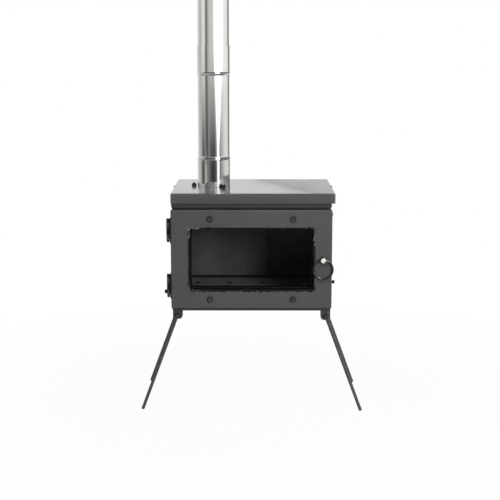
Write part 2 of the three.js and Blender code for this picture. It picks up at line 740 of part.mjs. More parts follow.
const SHUTTER_X = BODY_RIGHT + SEAM;
const SHUTTER_HALF_LENGTH = (AIR_SLOT_PITCH * (AIR_SLOTS - 1) + AIR_SLOT_LENGTH) / 2 + SHUTTER_MARGIN;
const SHUTTER_HALF_HEIGHT = AIR_SLOT_HEIGHT / 2 + SHUTTER_MARGIN;

function airShutter() {
  const outline = roundedRect(
    -SHUTTER_HALF_LENGTH,
    SHUTTER_HALF_LENGTH,
    AIR_Z - SHUTTER_HALF_HEIGHT,
    AIR_Z + SHUTTER_HALF_HEIGHT,
    2,
  );
  let plate = extrude(outline, "x", SHUTTER_X, SHUTTER_X + SHUTTER_SHEET);
  for (const slot of airSlots(SHUTTER_X - 1, SHUTTER_X + SHUTTER_SHEET + 1)) plate = plate.subtract(slot);
  return plate;
}

// A joggled strip that holds one long edge of the shutter: side is 1 for the upper strip, -1 for the lower.
function airGuide(side) {
  const edge = AIR_Z + side * (SHUTTER_HALF_HEIGHT + SEAM);
  const wall = SHUTTER_X;
  const outer = wall + SHUTTER_SHEET + SEAM + GUIDE_SHEET;
  const points = [
    [outer, edge - side * GUIDE_LIP],
    [outer, edge + side * GUIDE_SHEET],
    [wall + GUIDE_SHEET, edge + side * GUIDE_SHEET],
    [wall + GUIDE_SHEET, edge + side * (GUIDE_SHEET + GUIDE_FOOT)],
  ];
  if (side < 0) points.reverse();
  const section = bentSheet(points, GUIDE_SHEET, 0.2);
  const front = -SHUTTER_HALF_LENGTH - SHUTTER_MARGIN;
  return extrude(section, "y", front, SHUTTER_HALF_LENGTH + AIR_TRAVEL + SHUTTER_MARGIN);
}

// A turned knob with a groove for the fingernail.
function airKnob() {
  const groove = KNOB_RADIUS * 0.7;
  return revolve(
    [
      [0, 0],
      [KNOB_RADIUS, 0],
      [KNOB_RADIUS, KNOB_LENGTH * 0.3],
      [groove, KNOB_LENGTH * 0.42],
      [groove, KNOB_LENGTH * 0.6],
      [KNOB_RADIUS, KNOB_LENGTH * 0.7],
      [KNOB_RADIUS, KNOB_LENGTH * 0.94],
      [KNOB_RADIUS * 0.85, KNOB_LENGTH],
      [0, KNOB_LENGTH],
    ],
    SMALL_SIDES,
  );
}

// ---------------------------------------------------------------------------------------------
// Door
// ---------------------------------------------------------------------------------------------

const SCREW_X = SCREW_SPACING / 2;
const SCREW_Z = { lower: WINDOW_BOTTOM - SCREW_ROW, upper: WINDOW_TOP + SCREW_ROW };

function doorPanel() {
  const half = DOOR_WIDTH / 2;
  const outline = { x0: -half, x1: half, y0: DOOR_BOTTOM, y1: DOOR_TOP, corner: DOOR_CORNER };
  const pan = tray(outline, DOOR_DEPTH, DOOR_SHEET, DOOR_BEND);
  pan.rotateX(Math.PI / 2).translate(0, DOOR_BACK, 0);
  const [front, back] = [DOOR_FACE - 1, DOOR_FACE + DOOR_SHEET + 1];
  const windowHalf = WINDOW_WIDTH / 2;
  const window = roundedRect(-windowHalf, windowHalf, WINDOW_BOTTOM, WINDOW_TOP, WINDOW_CORNER);
  let panel = solid(pan).subtract(extrude(window, "y", front, back));
  for (const z of [SCREW_Z.lower, SCREW_Z.upper]) {
    for (const x of [-SCREW_X, SCREW_X]) {
      panel = panel.subtract(screwHole("y", M6, front, back, [x, 0, z]));
    }
  }
  return panel.subtract(screwHole("y", M5, front, back, [LATCH_X, 0, LATCH_Z]));
}

function glassPane() {
  const half = WINDOW_WIDTH / 2 + GLASS_LAP;
  const outline = roundedRect(-half, half, WINDOW_BOTTOM - GLASS_LAP, WINDOW_TOP + GLASS_LAP, 2);
  return extrude(outline, "y", GLASS_FRONT, GLASS_BACK);
}

// A flat fibre frame between the door and its glass. It shows a little inside the window's edge.
const GASKET_SHOWS = 1.2;

function glassGasket() {
  const outerHalf = WINDOW_WIDTH / 2 + GLASS_LAP;
  const innerHalf = WINDOW_WIDTH / 2 - GASKET_SHOWS;
  const frame = roundedRect(-outerHalf, outerHalf, WINDOW_BOTTOM - GLASS_LAP, WINDOW_TOP + GLASS_LAP, 2);
  const inner = [WINDOW_BOTTOM + GASKET_SHOWS, WINDOW_TOP - GASKET_SHOWS];
  frame.holes.push(roundedRect(-innerHalf, innerHalf, ...inner, WINDOW_CORNER));
  return extrude(frame, "y", GASKET_FRONT, GASKET_FRONT + GASKET);
}

// The rope that seals the closed door: it lies on the glass and meets the front frame round its opening.
function doorSeal() {
  const sides = 8;
  const reach = 2 * ROPE_RADIUS + SEAM;
  const half = OPENING_WIDTH / 2 + reach;
  const outline = {
    x0: -half,
    x1: half,
    y0: OPENING_BOTTOM - reach,
    y1: OPENING_TOP + reach,
    corner: 2 * ROPE_RADIUS + 2,
  };
  const rings = Array.from({ length: sides }, (_, i) => {
    const angle = ((i + 0.5) / sides) * 2 * Math.PI;
    const rim = ROPE_RADIUS / Math.cos(Math.PI / sides);
    const inset = ROPE_RADIUS - rim * Math.cos(angle) * Math.cos(Math.PI / sides);
    return ringOf(outline, inset, rim * Math.sin(angle) * Math.cos(Math.PI / sides));
  });
  return loft(rings, true).rotateX(Math.PI / 2).translate(0, ROPE_Y, 0);
}

// A joggled strip that presses on one long edge of the glass, with a weld nut behind each screw:
// side is 1 above the window, -1 below it.
function glassClamp(side) {
  const [openingEdge, glassEdge, screwZ] =
    side > 0
      ? [OPENING_TOP, WINDOW_TOP + GLASS_LAP, SCREW_Z.upper]
      : [OPENING_BOTTOM, WINDOW_BOTTOM - GLASS_LAP, SCREW_Z.lower];
  const lipEdge = openingEdge + side * (2 * ROPE_RADIUS + 2 * SEAM);
  const lipBack = GLASS_BACK + SEAM + CLAMP_SHEET;
  const footBack = GASKET_FRONT + CLAMP_SHEET;
  const step = glassEdge + side * (SEAM + CLAMP_SHEET);
  const points = [
    [lipBack, lipEdge],
    [lipBack, step],
    [footBack, step],
    [footBack, screwZ + side * CLAMP_FOOT],
  ];
  if (side < 0) points.reverse();
  let strip = extrude(bentSheet(points, CLAMP_SHEET, 0.3), "x", -CLAMP_LENGTH / 2, CLAMP_LENGTH / 2);
  const nutBack = footBack + WELD_NUT_HEIGHT;
  for (const x of [-SCREW_X, SCREW_X]) {
    strip = strip
      .add(cylinder("y", WELD_NUT_M6, footBack - 0.5, nutBack, [x, 0, screwZ], 6))
      .subtract(screwHole("y", M6, GASKET_FRONT - 1, nutBack + 1, [x, 0, screwZ]));
  }
  return strip;
}

// ---------------------------------------------------------------------------------------------
// Hinges, drawn round the axis with z = 0 in the middle of the door's knuckle
// ---------------------------------------------------------------------------------------------

const BODY_KNUCKLE_START = DOOR_KNUCKLE / 2 + KNUCKLE_GAP;
const BODY_KNUCKLE_END = BODY_KNUCKLE_START + BODY_KNUCKLE;
const WALL_FACE = -BODY_RIGHT - SEAM - HINGE_X; // the leaf's seat on the left wall, seen from the axis

function knuckle(z0, z1) {
  return cylinder("z", KNUCKLE_RADIUS, z0, z1, [0, 0, 0]);
}

function pinBore(z0, z1) {
  return cylinder("z", PIN_BORE, z0, z1, [0, 0, 0]);
}

// The leaf on the firebox: a plate on the left wall and two arms that reach forward to their knuckles.
function bodyLeaf(withLockBoss) {
  const plateFront = BODY_FRONT - HINGE_Y + 0.8;
  const [outer, inner] = [WALL_FACE - LEAF, WALL_FACE];
  const [elbow, cheek] = [[outer, plateFront + LEAF], [-KNUCKLE_RADIUS * 0.87, KNUCKLE_RADIUS * 0.5]];
  const arm = new THREE.Shape();
  arm.moveTo(inner, plateFront);
  arm.lineTo(...elbow);
  arm.lineTo(...cheek);
  arm.lineTo(0, 0);
  arm.lineTo(KNUCKLE_RADIUS * 0.43, KNUCKLE_RADIUS * 0.9);
  const plateBack = plateFront + BODY_LEAF_DEPTH;
  let leaf = box(outer, inner, plateFront, plateBack, -BODY_KNUCKLE_END, BODY_KNUCKLE_END);
  for (const [z0, z1] of [
    [BODY_KNUCKLE_START, BODY_KNUCKLE_END],
    [-BODY_KNUCKLE_END, -BODY_KNUCKLE_START],
  ]) {
    leaf = leaf.add(extrude(arm, "z", z0, z1)).add(knuckle(z0, z1));
  }
  if (withLockBoss) {
    const centre = [0, LOCK_SCREW_BACKSET, -(BODY_KNUCKLE_START + BODY_KNUCKLE_END) / 2];
    const share = (LOCK_SCREW_BACKSET - cheek[1]) / (elbow[1] - cheek[1]);
    const bossEnd = cheek[0] + share * (elbow[0] - cheek[0]); // on the arm's outer face
    leaf = leaf
      .add(cylinder("x", LOCK_BOSS_RADIUS, -KNUCKLE_RADIUS, bossEnd, centre, SMALL_SIDES))
      .subtract(screwHole("x", M4, -KNUCKLE_RADIUS - 1, LOCK_SCREW_LENGTH - KNUCKLE_RADIUS, centre));
  }
  return leaf.subtract(pinBore(-BODY_KNUCKLE_END - 1, BODY_KNUCKLE_END + 1));
}

// The leaf on the door: a strip on the pan's left edge with sloped ends, and the middle knuckle.
function doorLeaf() {
  const [outer, inner] = [KNUCKLE_RADIUS + SEAM, KNUCKLE_RADIUS + SEAM + LEAF];
  const bottom = -BODY_KNUCKLE_END - KNUCKLE_GAP - HINGE_NUT - LEAF_SLOPE;
  const top = BODY_KNUCKLE_END + KNUCKLE_GAP + HINGE_BOLT_HEAD + LEAF_SLOPE;
  const strip = new THREE.Shape();
  strip.moveTo(inner, bottom);
  strip.lineTo(inner, top);
  strip.lineTo(outer, top - LEAF_SLOPE);
  strip.lineTo(outer, bottom + LEAF_SLOPE);
  const front = -HINGE_BACKSET + DOOR_LEAF_SETBACK.front;
  const back = DOOR_DEPTH - HINGE_BACKSET - DOOR_LEAF_SETBACK.back;
  const half = DOOR_KNUCKLE / 2;
  return extrude(strip, "y", front, back)
    .add(box(0, outer + LEAF / 2, -KNUCKLE_RADIUS * 0.6, KNUCKLE_RADIUS * 0.6, -half, half))
    .add(knuckle(-half, half))
    .subtract(pinBore(-half - 1, half + 1));
}

function hingeBolt() {
  const head = BODY_KNUCKLE_END + KNUCKLE_GAP;
  const top = head + HINGE_BOLT_HEAD;
  const end = -head - HINGE_NUT - HINGE_STEM;
  const r = HINGE_CAP_RADIUS;
  const turned = revolve(
    [
      [0, end],
      [M4.shank, end],
      [M4.shank, head],
      [r, head],
      [r, top - 0.6],
      [r - 0.6, top],
      [0, top],
    ],
    SMALL_SIDES,
  );
  return turned.subtract(cylinder("z", M4.socket, top - 2.5, top + 1, [0, 0, 0], 6));
}

// ---------------------------------------------------------------------------------------------
// Latch, drawn round the screw's axis: z = 0 on the door's face, +Z towards the user, +Y up
// ---------------------------------------------------------------------------------------------

const WASHER_TOP = SEAM + SPACER;
const EYE_TOP = WASHER_TOP + SEAM + RING_WIRE;

function latchRing() {
  const wire = RING_WIRE / 2;
  const track = RING_DIAMETER / 2 - wire;
  const drop = track - wire / 2;
  const middle = WASHER_TOP + SEAM + wire;
  const circle = new THREE.TorusGeometry(track, wire, 8, PIPE_SIDES);
  circle.translate(0, -drop, middle);
  const eyeTrack = EYE_RADIUS - wire;
  const eye = new THREE.TorusGeometry(eyeTrack, wire, 8, ROUND_SIDES);
  eye.translate(0, 0, middle);
  const screwSpace = screwHole("z", M5, middle - 5, middle + 5, [0, 0, 0]);
  return solid(circle).subtract(screwSpace).add(solid(eye)).subtract(screwSpace);
}

function latchWasher() {
  const washer = cylinder("z", SPACER_RADIUS, SEAM, WASHER_TOP, [0, 0, 0]);
  return washer.subtract(screwHole("z", M5, -1, WASHER_TOP + 1, [0, 0, 0]));
}

const SCREW_HEAD_Z = EYE_TOP + SEAM;
const NUT_STACK = CAM_THICKNESS + SEAM + LATCH_NUT_HEIGHT + LATCH_NUT_CLEARANCE;
const CAM_DEPTH = DOOR_DEPTH + DOOR_GAP - NUT_STACK; // the blade's front behind the door's face
const CAM_FRONT = -CAM_DEPTH;
const CAM_BACK = CAM_FRONT - CAM_THICKNESS;
const NUT_TOP = CAM_BACK - SEAM;

// The cam: a hub that reaches to the door's sheet and a blade that points up until the latch is turned.
function latchCam() {
  const blade = new THREE.Shape();
  const half = CAM_WIDTH / 2;
  blade.absarc(0, 0, half, Math.PI, 2 * Math.PI);
  blade.lineTo(half * 0.8, CAM_REACH - 1.5);
  blade.lineTo(half * 0.5, CAM_REACH);
  blade.lineTo(-half * 0.5, CAM_REACH);
  blade.lineTo(-half * 0.8, CAM_REACH - 1.5);
  const hub = cylinder("z", half, CAM_BACK, -DOOR_SHEET - SEAM, [0, 0, 0]);
  return hub
    .add(extrude(blade, "z", CAM_BACK, CAM_FRONT))
    .subtract(screwHole("z", M5, CAM_BACK - 1, 0, [0, 0, 0]));
}

function keeper() {
  const lipFront = DOOR_FACE + CAM_DEPTH - KEEPER_PLAY - KEEPER_SHEET;
  const seat = BODY_FRONT - SEAM;
  const right = DOOR_WIDTH / 2 - DOOR_SHEET - 0.6;
  const lipEnd = LATCH_X + CAM_REACH - KEEPER_OVERLAP;
  const footEnd = LATCH_X + M5.head + 3;
  const section = bentSheet(
    [
      [lipEnd, lipFront],
      [right, lipFront],
      [right, seat],
      [footEnd, seat],
    ],
    KEEPER_SHEET,
    0.3,
  );
  return extrude(section, "z", LATCH_Z - KEEPER_HEIGHT / 2, LATCH_Z + KEEPER_HEIGHT / 2);
}

// ---------------------------------------------------------------------------------------------
// Legs and brackets, drawn round the leg's pivot with the stove's outside at +X
// ---------------------------------------------------------------------------------------------

const SPLAY_ANGLE = THREE.MathUtils.degToRad(SPLAY);
const CHEEK_INSIDE = ROD_RADIUS + LEG_PLAY;
const CHEEK_OUTSIDE = CHEEK_INSIDE + BRACKET_SHEET;
const BRACKET_OUTSIDE = PIVOT_INSET - 0.5;

// A folded cap over the leg's eye: two cheeks, a web under the floor, and a lip outside that stops the
// leg at its splay.
function legBracket() {
  const top = PIVOT_DROP - SEAM;
  const bottom = top - BRACKET_DROP;
  const [inner, outer] = [BRACKET_OUTSIDE - BRACKET_WIDTH, BRACKET_OUTSIDE];
  const saddle = bentSheet(
    [
      [CHEEK_OUTSIDE, bottom],
      [CHEEK_OUTSIDE, top],
      [-CHEEK_OUTSIDE, top],
      [-CHEEK_OUTSIDE, bottom],
    ],
    BRACKET_SHEET,
    0.6,
  );
  const cheek = new THREE.Shape();
  cheek.moveTo(outer, bottom);
  cheek.lineTo(outer, top);
  cheek.lineTo(inner, top);
  cheek.absarc(inner + BRACKET_CORNER, bottom + BRACKET_CORNER, BRACKET_CORNER, Math.PI, Math.PI * 1.5);
  const lipHalf = CHEEK_OUTSIDE - 0.5;
  const lip = box(outer - BRACKET_SHEET, outer, -lipHalf, lipHalf, bottom, top - 0.5);
  return extrude(saddle, "x", inner, outer)
    .intersect(extrude(cheek, "y", -CHEEK_OUTSIDE - 1, CHEEK_OUTSIDE + 1))
    .add(lip)
    .subtract(screwHole("y", M5, -CHEEK_OUTSIDE - 1, CHEEK_OUTSIDE + 1, [0, 0, 0]));
}

// A rod with a forged eye and a rounded foot that the floor cuts flat.
function legRod() {
  const length = (PIVOT_Z + ROD_RADIUS * 0.2) / Math.cos(SPLAY_ANGLE) - ROD_RADIUS * 0.8;
  const rod = revolve(
    [
      [0, -length - ROD_RADIUS * 0.9],
      [ROD_RADIUS * 0.5, -length - ROD_RADIUS * 0.72],
      [ROD_RADIUS * 0.87, -length - ROD_RADIUS * 0.35],
      [ROD_RADIUS, -length + ROD_RADIUS * 0.2],
      [ROD_RADIUS, 0],
      [0, 0],
    ],
    SMALL_SIDES,
  );
  const splayed = rod.rotate([0, -SPLAY, 0]);
  const eye = cylinder("y", EYE_OF_LEG, -ROD_RADIUS, ROD_RADIUS, [0, 0, 0]);
  const half = ROD_RADIUS + 1;
  const floor = box(0, 2 * PIVOT_Z, -half, half, -PIVOT_Z - length, -PIVOT_Z);
  const bore = cylinder("y", M5.shank + PIN_PLAY, -half, half, [0, 0, 0], ROUND_SIDES);
  return splayed.add(eye).subtract(bore).subtract(floor);
}

// The pivot bolt with its nut: head at the front, z = 0 in the middle of the bracket.
function legBolt() {
  const seat = CHEEK_OUTSIDE + SEAM;
  const bolt = screw(M5, 2 * seat + WELD_NUT_HEIGHT).translate([0, 0, seat]);
  return bolt.add(cylinder("z", M5.head, -seat - WELD_NUT_HEIGHT + 0.6, -seat, [0, 0, 0], 6));
}

// ---------------------------------------------------------------------------------------------
// The stove
// ---------------------------------------------------------------------------------------------

function firebox() {
  const group = new THREE.Group();
  const frameScrew = screw(M4, SEAM + SHEET + SEAM + SHEET + 1);
  const backPanelFoot = BODY_BACK - PANEL_RIM;
  const { y, z } = FRAME_SCREW;
  group.add(
    piece("firebox_wrap", fireboxWrap(), GREY_PAINT),
    piece("front_frame", frontFrame(), GREY_PAINT),
    piece("back_panel", backPanel(), GREY_PAINT, [0, backPanelFoot, 0], TO_BACK),
    piece("top_rail", topRail(), GREY_PAINT),
    piece("fire_grate", fireGrate(), BARE_STEEL),
    piece("latch_keeper", keeper(), GREY_PAINT),
    piece("frame_screw", frameScrew, BLACK_OXIDE, [BODY_RIGHT + SEAM, y, z], TO_RIGHT),
  );
  return group;
}

function cookingTop() {
  const group = new THREE.Group();
  const half = TOP_WIDTH / 2;
  const upstand = BODY_RIGHT - RAIL_STEP - SHEET;
  const { y, z } = LID_SCREW;
  const [left, right] = [TOP_SHIFT - half - SEAM, TOP_SHIFT + half + SEAM];
  const leftScrew = screw(M4, -left - upstand + LID_SCREW_GRIP, LID_SCREW_HEAD);
  const rightScrew = screw(M4, right - upstand + LID_SCREW_GRIP, LID_SCREW_HEAD);
  group.add(
    piece("top_plate", topPlate(), GREY_PAINT),
    piece("lid_screw_left", leftScrew, BLACK_OXIDE, [left, y, z], TO_LEFT),
    piece("lid_screw_right", rightScrew, BLACK_OXIDE, [right, y, z], TO_RIGHT),
    piece("flue_collar", flueCollar(), BARE_STEEL, [FLUE_X, FLUE_Y, 0]),
  );
  flueBoltPlaces().forEach(([x, boltY], i) => {
    group.add(piece(`flue_bolt_${i + 1}`, flueBolt(), BLACK_OXIDE, [x, boltY, TOP_SURFACE + SEAM]));
  });
  return group;
}

function chimney() {
  const group = new THREE.Group();
  group.position.set(FLUE_X, FLUE_Y, PIPE_FOOT);
  group.add(piece("pipe_lower", lowerPipe(), STAINLESS));
  group.add(piece("pipe_upper", upperPipe(), STAINLESS, [0, 0, PLUG_FOOT]));
  return group;
}

function shutter() {
  const group = new THREE.Group();
  const knobX = SHUTTER_X + SHUTTER_SHEET + SEAM;
  group.add(
    piece("air_shutter", airShutter(), GREY_PAINT),
    piece("air_guide_upper", airGuide(1), GREY_PAINT),
    piece("air_guide_lower", airGuide(-1), GREY_PAINT),
    piece("air_knob", airKnob(), BLACK_OXIDE, [knobX, 0, AIR_Z], TO_RIGHT),
  );
  return group;
}

function door() {
  const group = new THREE.Group();
  group.add(
    piece("door_panel", doorPanel(), GREY_PAINT),
    piece("door_glass", glassPane(), CLEAR_GLASS),
    piece("glass_gasket", glassGasket(), FIBRE),
    piece("door_seal", doorSeal(), FIBRE),
    piece("glass_clamp_upper", glassClamp(1), BARE_STEEL),
    piece("glass_clamp_lower", glassClamp(-1), BARE_STEEL),
  );
  const reach = DOOR_SHEET + 2 * SEAM + CLAMP_SHEET + WELD_NUT_HEIGHT;
  for (const [level, z] of Object.entries(SCREW_Z)) {
    for (const [hand, x] of Object.entries({ left: -SCREW_X, right: SCREW_X })) {
      const place = [x, DOOR_FACE - SEAM, z];
      group.add(piece(`door_screw_${level}_${hand}`, screw(M6, reach), BLACK_OXIDE, place, TO_FRONT));
    }
  }
  group.add(latch());
  return group;
}

function latch() {
  const group = new THREE.Group();
  group.position.set(LATCH_X, DOOR_FACE, LATCH_Z);
  group.rotation.set(...TO_FRONT);
  const shank = SCREW_HEAD_Z - NUT_TOP + LATCH_NUT_HEIGHT;
  group.add(
    piece("latch_ring", latchRing(), BLACK_WIRE),
    piece("latch_washer", latchWasher(), BLACK_OXIDE),
    piece("latch_screw", screw(M5, shank), BRIGHT_STEEL, [0, 0, SCREW_HEAD_Z]),
    piece("latch_cam", latchCam(), BARE_STEEL),
    piece("latch_nut", nut(M5.head, LATCH_NUT_HEIGHT, M5.shank + PIN_PLAY), BARE_STEEL, [
      0,
      0,
      NUT_TOP - LATCH_NUT_HEIGHT,
    ]),
  );
  return group;
}

function hinge(level) {
  const group = new THREE.Group();
  group.position.set(HINGE_X, HINGE_Y, HINGE_Z[level]);
  const isLower = level === "lower";
  const nutFoot = -BODY_KNUCKLE_END - KNUCKLE_GAP - HINGE_NUT;
  group.add(
    piece(`hinge_body_leaf_${level}`, bodyLeaf(isLower), GREY_PAINT),
    piece(`hinge_door_leaf_${level}`, doorLeaf(), BLACK_OXIDE),
    piece(`hinge_bolt_${level}`, hingeBolt(), BLACK_OXIDE),
    piece(`hinge_nut_${level}`, nut(HINGE_CAP_RADIUS, HINGE_NUT, PIN_BORE), BLACK_OXIDE, [0, 0, nutFoot]),
  );
  if (isLower) {
    const z = -(BODY_KNUCKLE_START + BODY_KNUCKLE_END) / 2;
    const place = [-KNUCKLE_RADIUS - SEAM, LOCK_SCREW_BACKSET, z];
    const lockScrew = screw(M4, LOCK_SCREW_LENGTH, LOCK_SCREW_HEAD);
    group.add(piece("hinge_lock_screw", lockScrew, BLACK_OXIDE, place, TO_LEFT));
  }
  return group;
}

// side is 1 on the right and -1 on the left, where the leg and its bracket are turned about
function leg(hand, end) {
  const side = hand === "right" ? 1 : -1;
  const stagger = hand === "left" ? LEG_STAGGER : 0;
  const y = stagger + (end === "front" ? BODY_FRONT + LEG_INSET : BODY_BACK - LEG_INSET - LEG_STAGGER);
  const turn = [0, 0, side > 0 ? 0 : Math.PI];
  const group = new THREE.Group();
  group.position.set(side * PIVOT_X, y, PIVOT_Z);
  group.add(
    piece(`leg_bracket_${end}_${hand}`, legBracket(), GREY_PAINT, [0, 0, 0], turn),
    piece(`leg_${end}_${hand}`, legRod(), GREY_PAINT, [0, 0, 0], turn),
    piece(`leg_bolt_${end}_${hand}`, legBolt(), BLACK_OXIDE, [0, 0, 0], TO_FRONT),
  );
  return group;
}

const stove = new THREE.Group();
stove.add(firebox(), cookingTop(), chimney(), shutter(), door(), hinge("lower"), hinge("upper"));
for (const end of ["front", "back"]) {
  for (const hand of ["left", "right"]) stove.add(leg(hand, end));
}

export default stove;
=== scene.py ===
"""Tent wood stove: the finish of every surface, fine meshes for turned and wound pieces, light and camera.

Metres. +X is to the right, +Y to the back and +Z up, seen by someone facing the door. The origin lies on
the floor under the middle of the cooking top.
"""

import json
import math
import random

import bpy
from mathutils import Euler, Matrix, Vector, noise

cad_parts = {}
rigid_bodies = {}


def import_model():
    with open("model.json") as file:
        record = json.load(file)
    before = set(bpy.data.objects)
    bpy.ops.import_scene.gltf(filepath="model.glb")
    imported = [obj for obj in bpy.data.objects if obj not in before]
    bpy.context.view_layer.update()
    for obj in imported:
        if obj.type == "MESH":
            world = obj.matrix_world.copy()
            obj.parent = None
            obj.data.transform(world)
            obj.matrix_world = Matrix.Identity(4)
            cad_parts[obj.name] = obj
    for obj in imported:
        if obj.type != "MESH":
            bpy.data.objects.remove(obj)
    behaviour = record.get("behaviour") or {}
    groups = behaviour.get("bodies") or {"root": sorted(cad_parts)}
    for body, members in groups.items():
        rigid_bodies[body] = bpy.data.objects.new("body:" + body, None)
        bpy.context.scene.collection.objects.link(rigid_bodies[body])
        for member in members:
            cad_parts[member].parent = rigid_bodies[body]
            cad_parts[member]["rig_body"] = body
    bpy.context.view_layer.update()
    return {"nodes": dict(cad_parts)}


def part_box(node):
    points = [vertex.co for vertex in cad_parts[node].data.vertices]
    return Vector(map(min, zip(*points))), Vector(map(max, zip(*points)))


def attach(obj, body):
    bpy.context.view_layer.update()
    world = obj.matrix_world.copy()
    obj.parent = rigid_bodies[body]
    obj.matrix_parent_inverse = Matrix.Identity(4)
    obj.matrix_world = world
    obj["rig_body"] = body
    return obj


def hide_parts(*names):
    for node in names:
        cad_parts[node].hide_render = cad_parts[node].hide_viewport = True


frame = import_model()
NODES = frame["nodes"]
MM = 0.001

# ---- Sizes that the frame's boxes don't give, in millimetres ----

# Chimney
PIPE_WALL = 0.6
BEAD_RADIUS = 1.35
BEAD_LENGTH = 5.5
SLEEVE_HEIGHT = 53.6
BARREL_HEIGHT = 159.8
SLEEVE_RADIUS = 31.0
BARREL_RADIUS = 30.15
BELL_RADIUS = 30.85
PLUG_RADIUS = 29.7
SEAM_WIDTH = 1.4

# Screws: head height, socket radius and shank radius
HEADS = {
    "M4": {"height": 2.2, "socket": 1.4, "shank": 1.9},
    "M5": {"height": 3.0, "socket": 1.7, "shank": 2.4},
    "M6": {"height": 3.0, "socket": 2.2, "shank": 2.9},
}
THREAD_PITCH = 0.8
THREAD_DEPTH = 0.22
LID_SCREW_HEAD = 4.2
LOCK_SCREW_HEAD = 4.4
# Shares of a painted screw's head radius: where the painted shade on its rim starts and where the painted
# shade in its socket ends
RIM_SHARE = 0.68
SOCKET_SHARE = 0.33

RING_WIRE = 1.8
WASHER_BORE = 2.7

# Legs, and the head and nut of their bolts
LEG_ROD = 3.0
LEG_EYE = 5.5
LEG_BORE = 2.55
LEG_BOLT_HEAD = 4.7
LEG_NUT_HEIGHT = 3.4
LEG_NUT_STEM = 0.6  # the bolt reaches this far past its nut

# Fibre
GLASS_LAP = 6.5  # of the glass behind the door
WINDOW_CORNER = 4.0
GASKET_WIDTH = 5.5  # of its flat part, behind the door
GASKET_LAP = 0.85  # mean lap of the frayed edge over the door; it sags, so there is more at the bottom
HAIR_LENGTH = (1.0, 3.0)
HAIR_RADIUS = (0.12, 0.34)
ROPE_LAY = 9.0  # along the rope for one turn of a strand
TAPE_WIDTH = 5.0
TAPE_INSET = 0.9  # from the back panel's outer face

# ---- Camera, at the photograph's viewing angle ----

CAMERA_PLACE = (0.0035, -2.250, 0.6787)
CAMERA_TILT = 80.26
CAMERA_TURN = 0.165
CAMERA_LENS = 85.0


def make_camera():
    data = bpy.data.cameras.new("camera")
    data.lens = CAMERA_LENS
    data.sensor_width = 36.0
    camera = bpy.data.objects.new("camera", data)
    camera.location = CAMERA_PLACE
    camera.rotation_euler = Euler((math.radians(CAMERA_TILT), 0.0, math.radians(CAMERA_TURN)))
    bpy.context.scene.collection.objects.link(camera)
    bpy.context.scene.camera = camera


# ---- Node helpers ----


def rgba(colour):
    """A grey or a colour as the four values that a colour socket takes."""
    return (colour, colour, colour, 1.0) if isinstance(colour, (int, float)) else (*colour, 1.0)


class Nodes:
    """A node tree with short calls for the nodes used here."""

    def __init__(self, tree):
        self.tree = tree
        self.tree.nodes.clear()

    def add(self, kind, inputs=None, **settings):
        """A new node with its settings, and its inputs by name or number."""
        node = self.tree.nodes.new(kind)
        for key, value in settings.items():
            setattr(node, key, value)
        for socket, value in (inputs or {}).items():
            self.feed(node.inputs[socket], value)
        return node

    def feed(self, socket, value):
        """Sets a socket to a plain value, or links it to an output, which for a node is its first."""
        if isinstance(value, bpy.types.Node):
            value = value.outputs[0]
        if isinstance(value, bpy.types.NodeSocket):
            self.tree.links.new(value, socket)
        else:
            socket.default_value = rgba(value) if socket.type == "RGBA" else value

    def split(self, vector):
        return self.add("ShaderNodeSeparateXYZ", {0: vector}).outputs

    def ramp(self, value, stops):
        """A colour or a grey from stops of (place, colour)."""
        node = self.add("ShaderNodeValToRGB", {"Fac": value})
        elements = node.color_ramp.elements
        while len(elements) < len(stops):
            elements.new(0.5)
        for element, (place, colour) in zip(elements, stops):
            element.position = place
            element.color = rgba(colour)
        return node.outputs["Color"]

    def math(self, operation, a, b=0.0, clamp=False):
        return self.add("ShaderNodeMath", {0: a, 1: b}, operation=operation, use_clamp=clamp).outputs[0]

    def product(self, first, *others):
        for other in others:
            first = self.math("MULTIPLY", first, other)
        return first

    def remap(self, value, low, high, to_low=0.0, to_high=1.0, smooth=True):
        """A value's place between low and high, from 0 to 1 or between two other ends."""
        inputs = {"Value": value, "From Min": low, "From Max": high, "To Min": to_low, "To Max": to_high}
        easing = "SMOOTHSTEP" if smooth else "LINEAR"
        return self.add("ShaderNodeMapRange", inputs, interpolation_type=easing).outputs["Result"]

    def mix(self, share, a, b, blend="MIX"):
        """Mixes two colours; share is a grey or a number."""
        inputs = {"Factor": share, 6: a, 7: b}
        return self.add("ShaderNodeMix", inputs, data_type="RGBA", blend_type=blend).outputs[2]


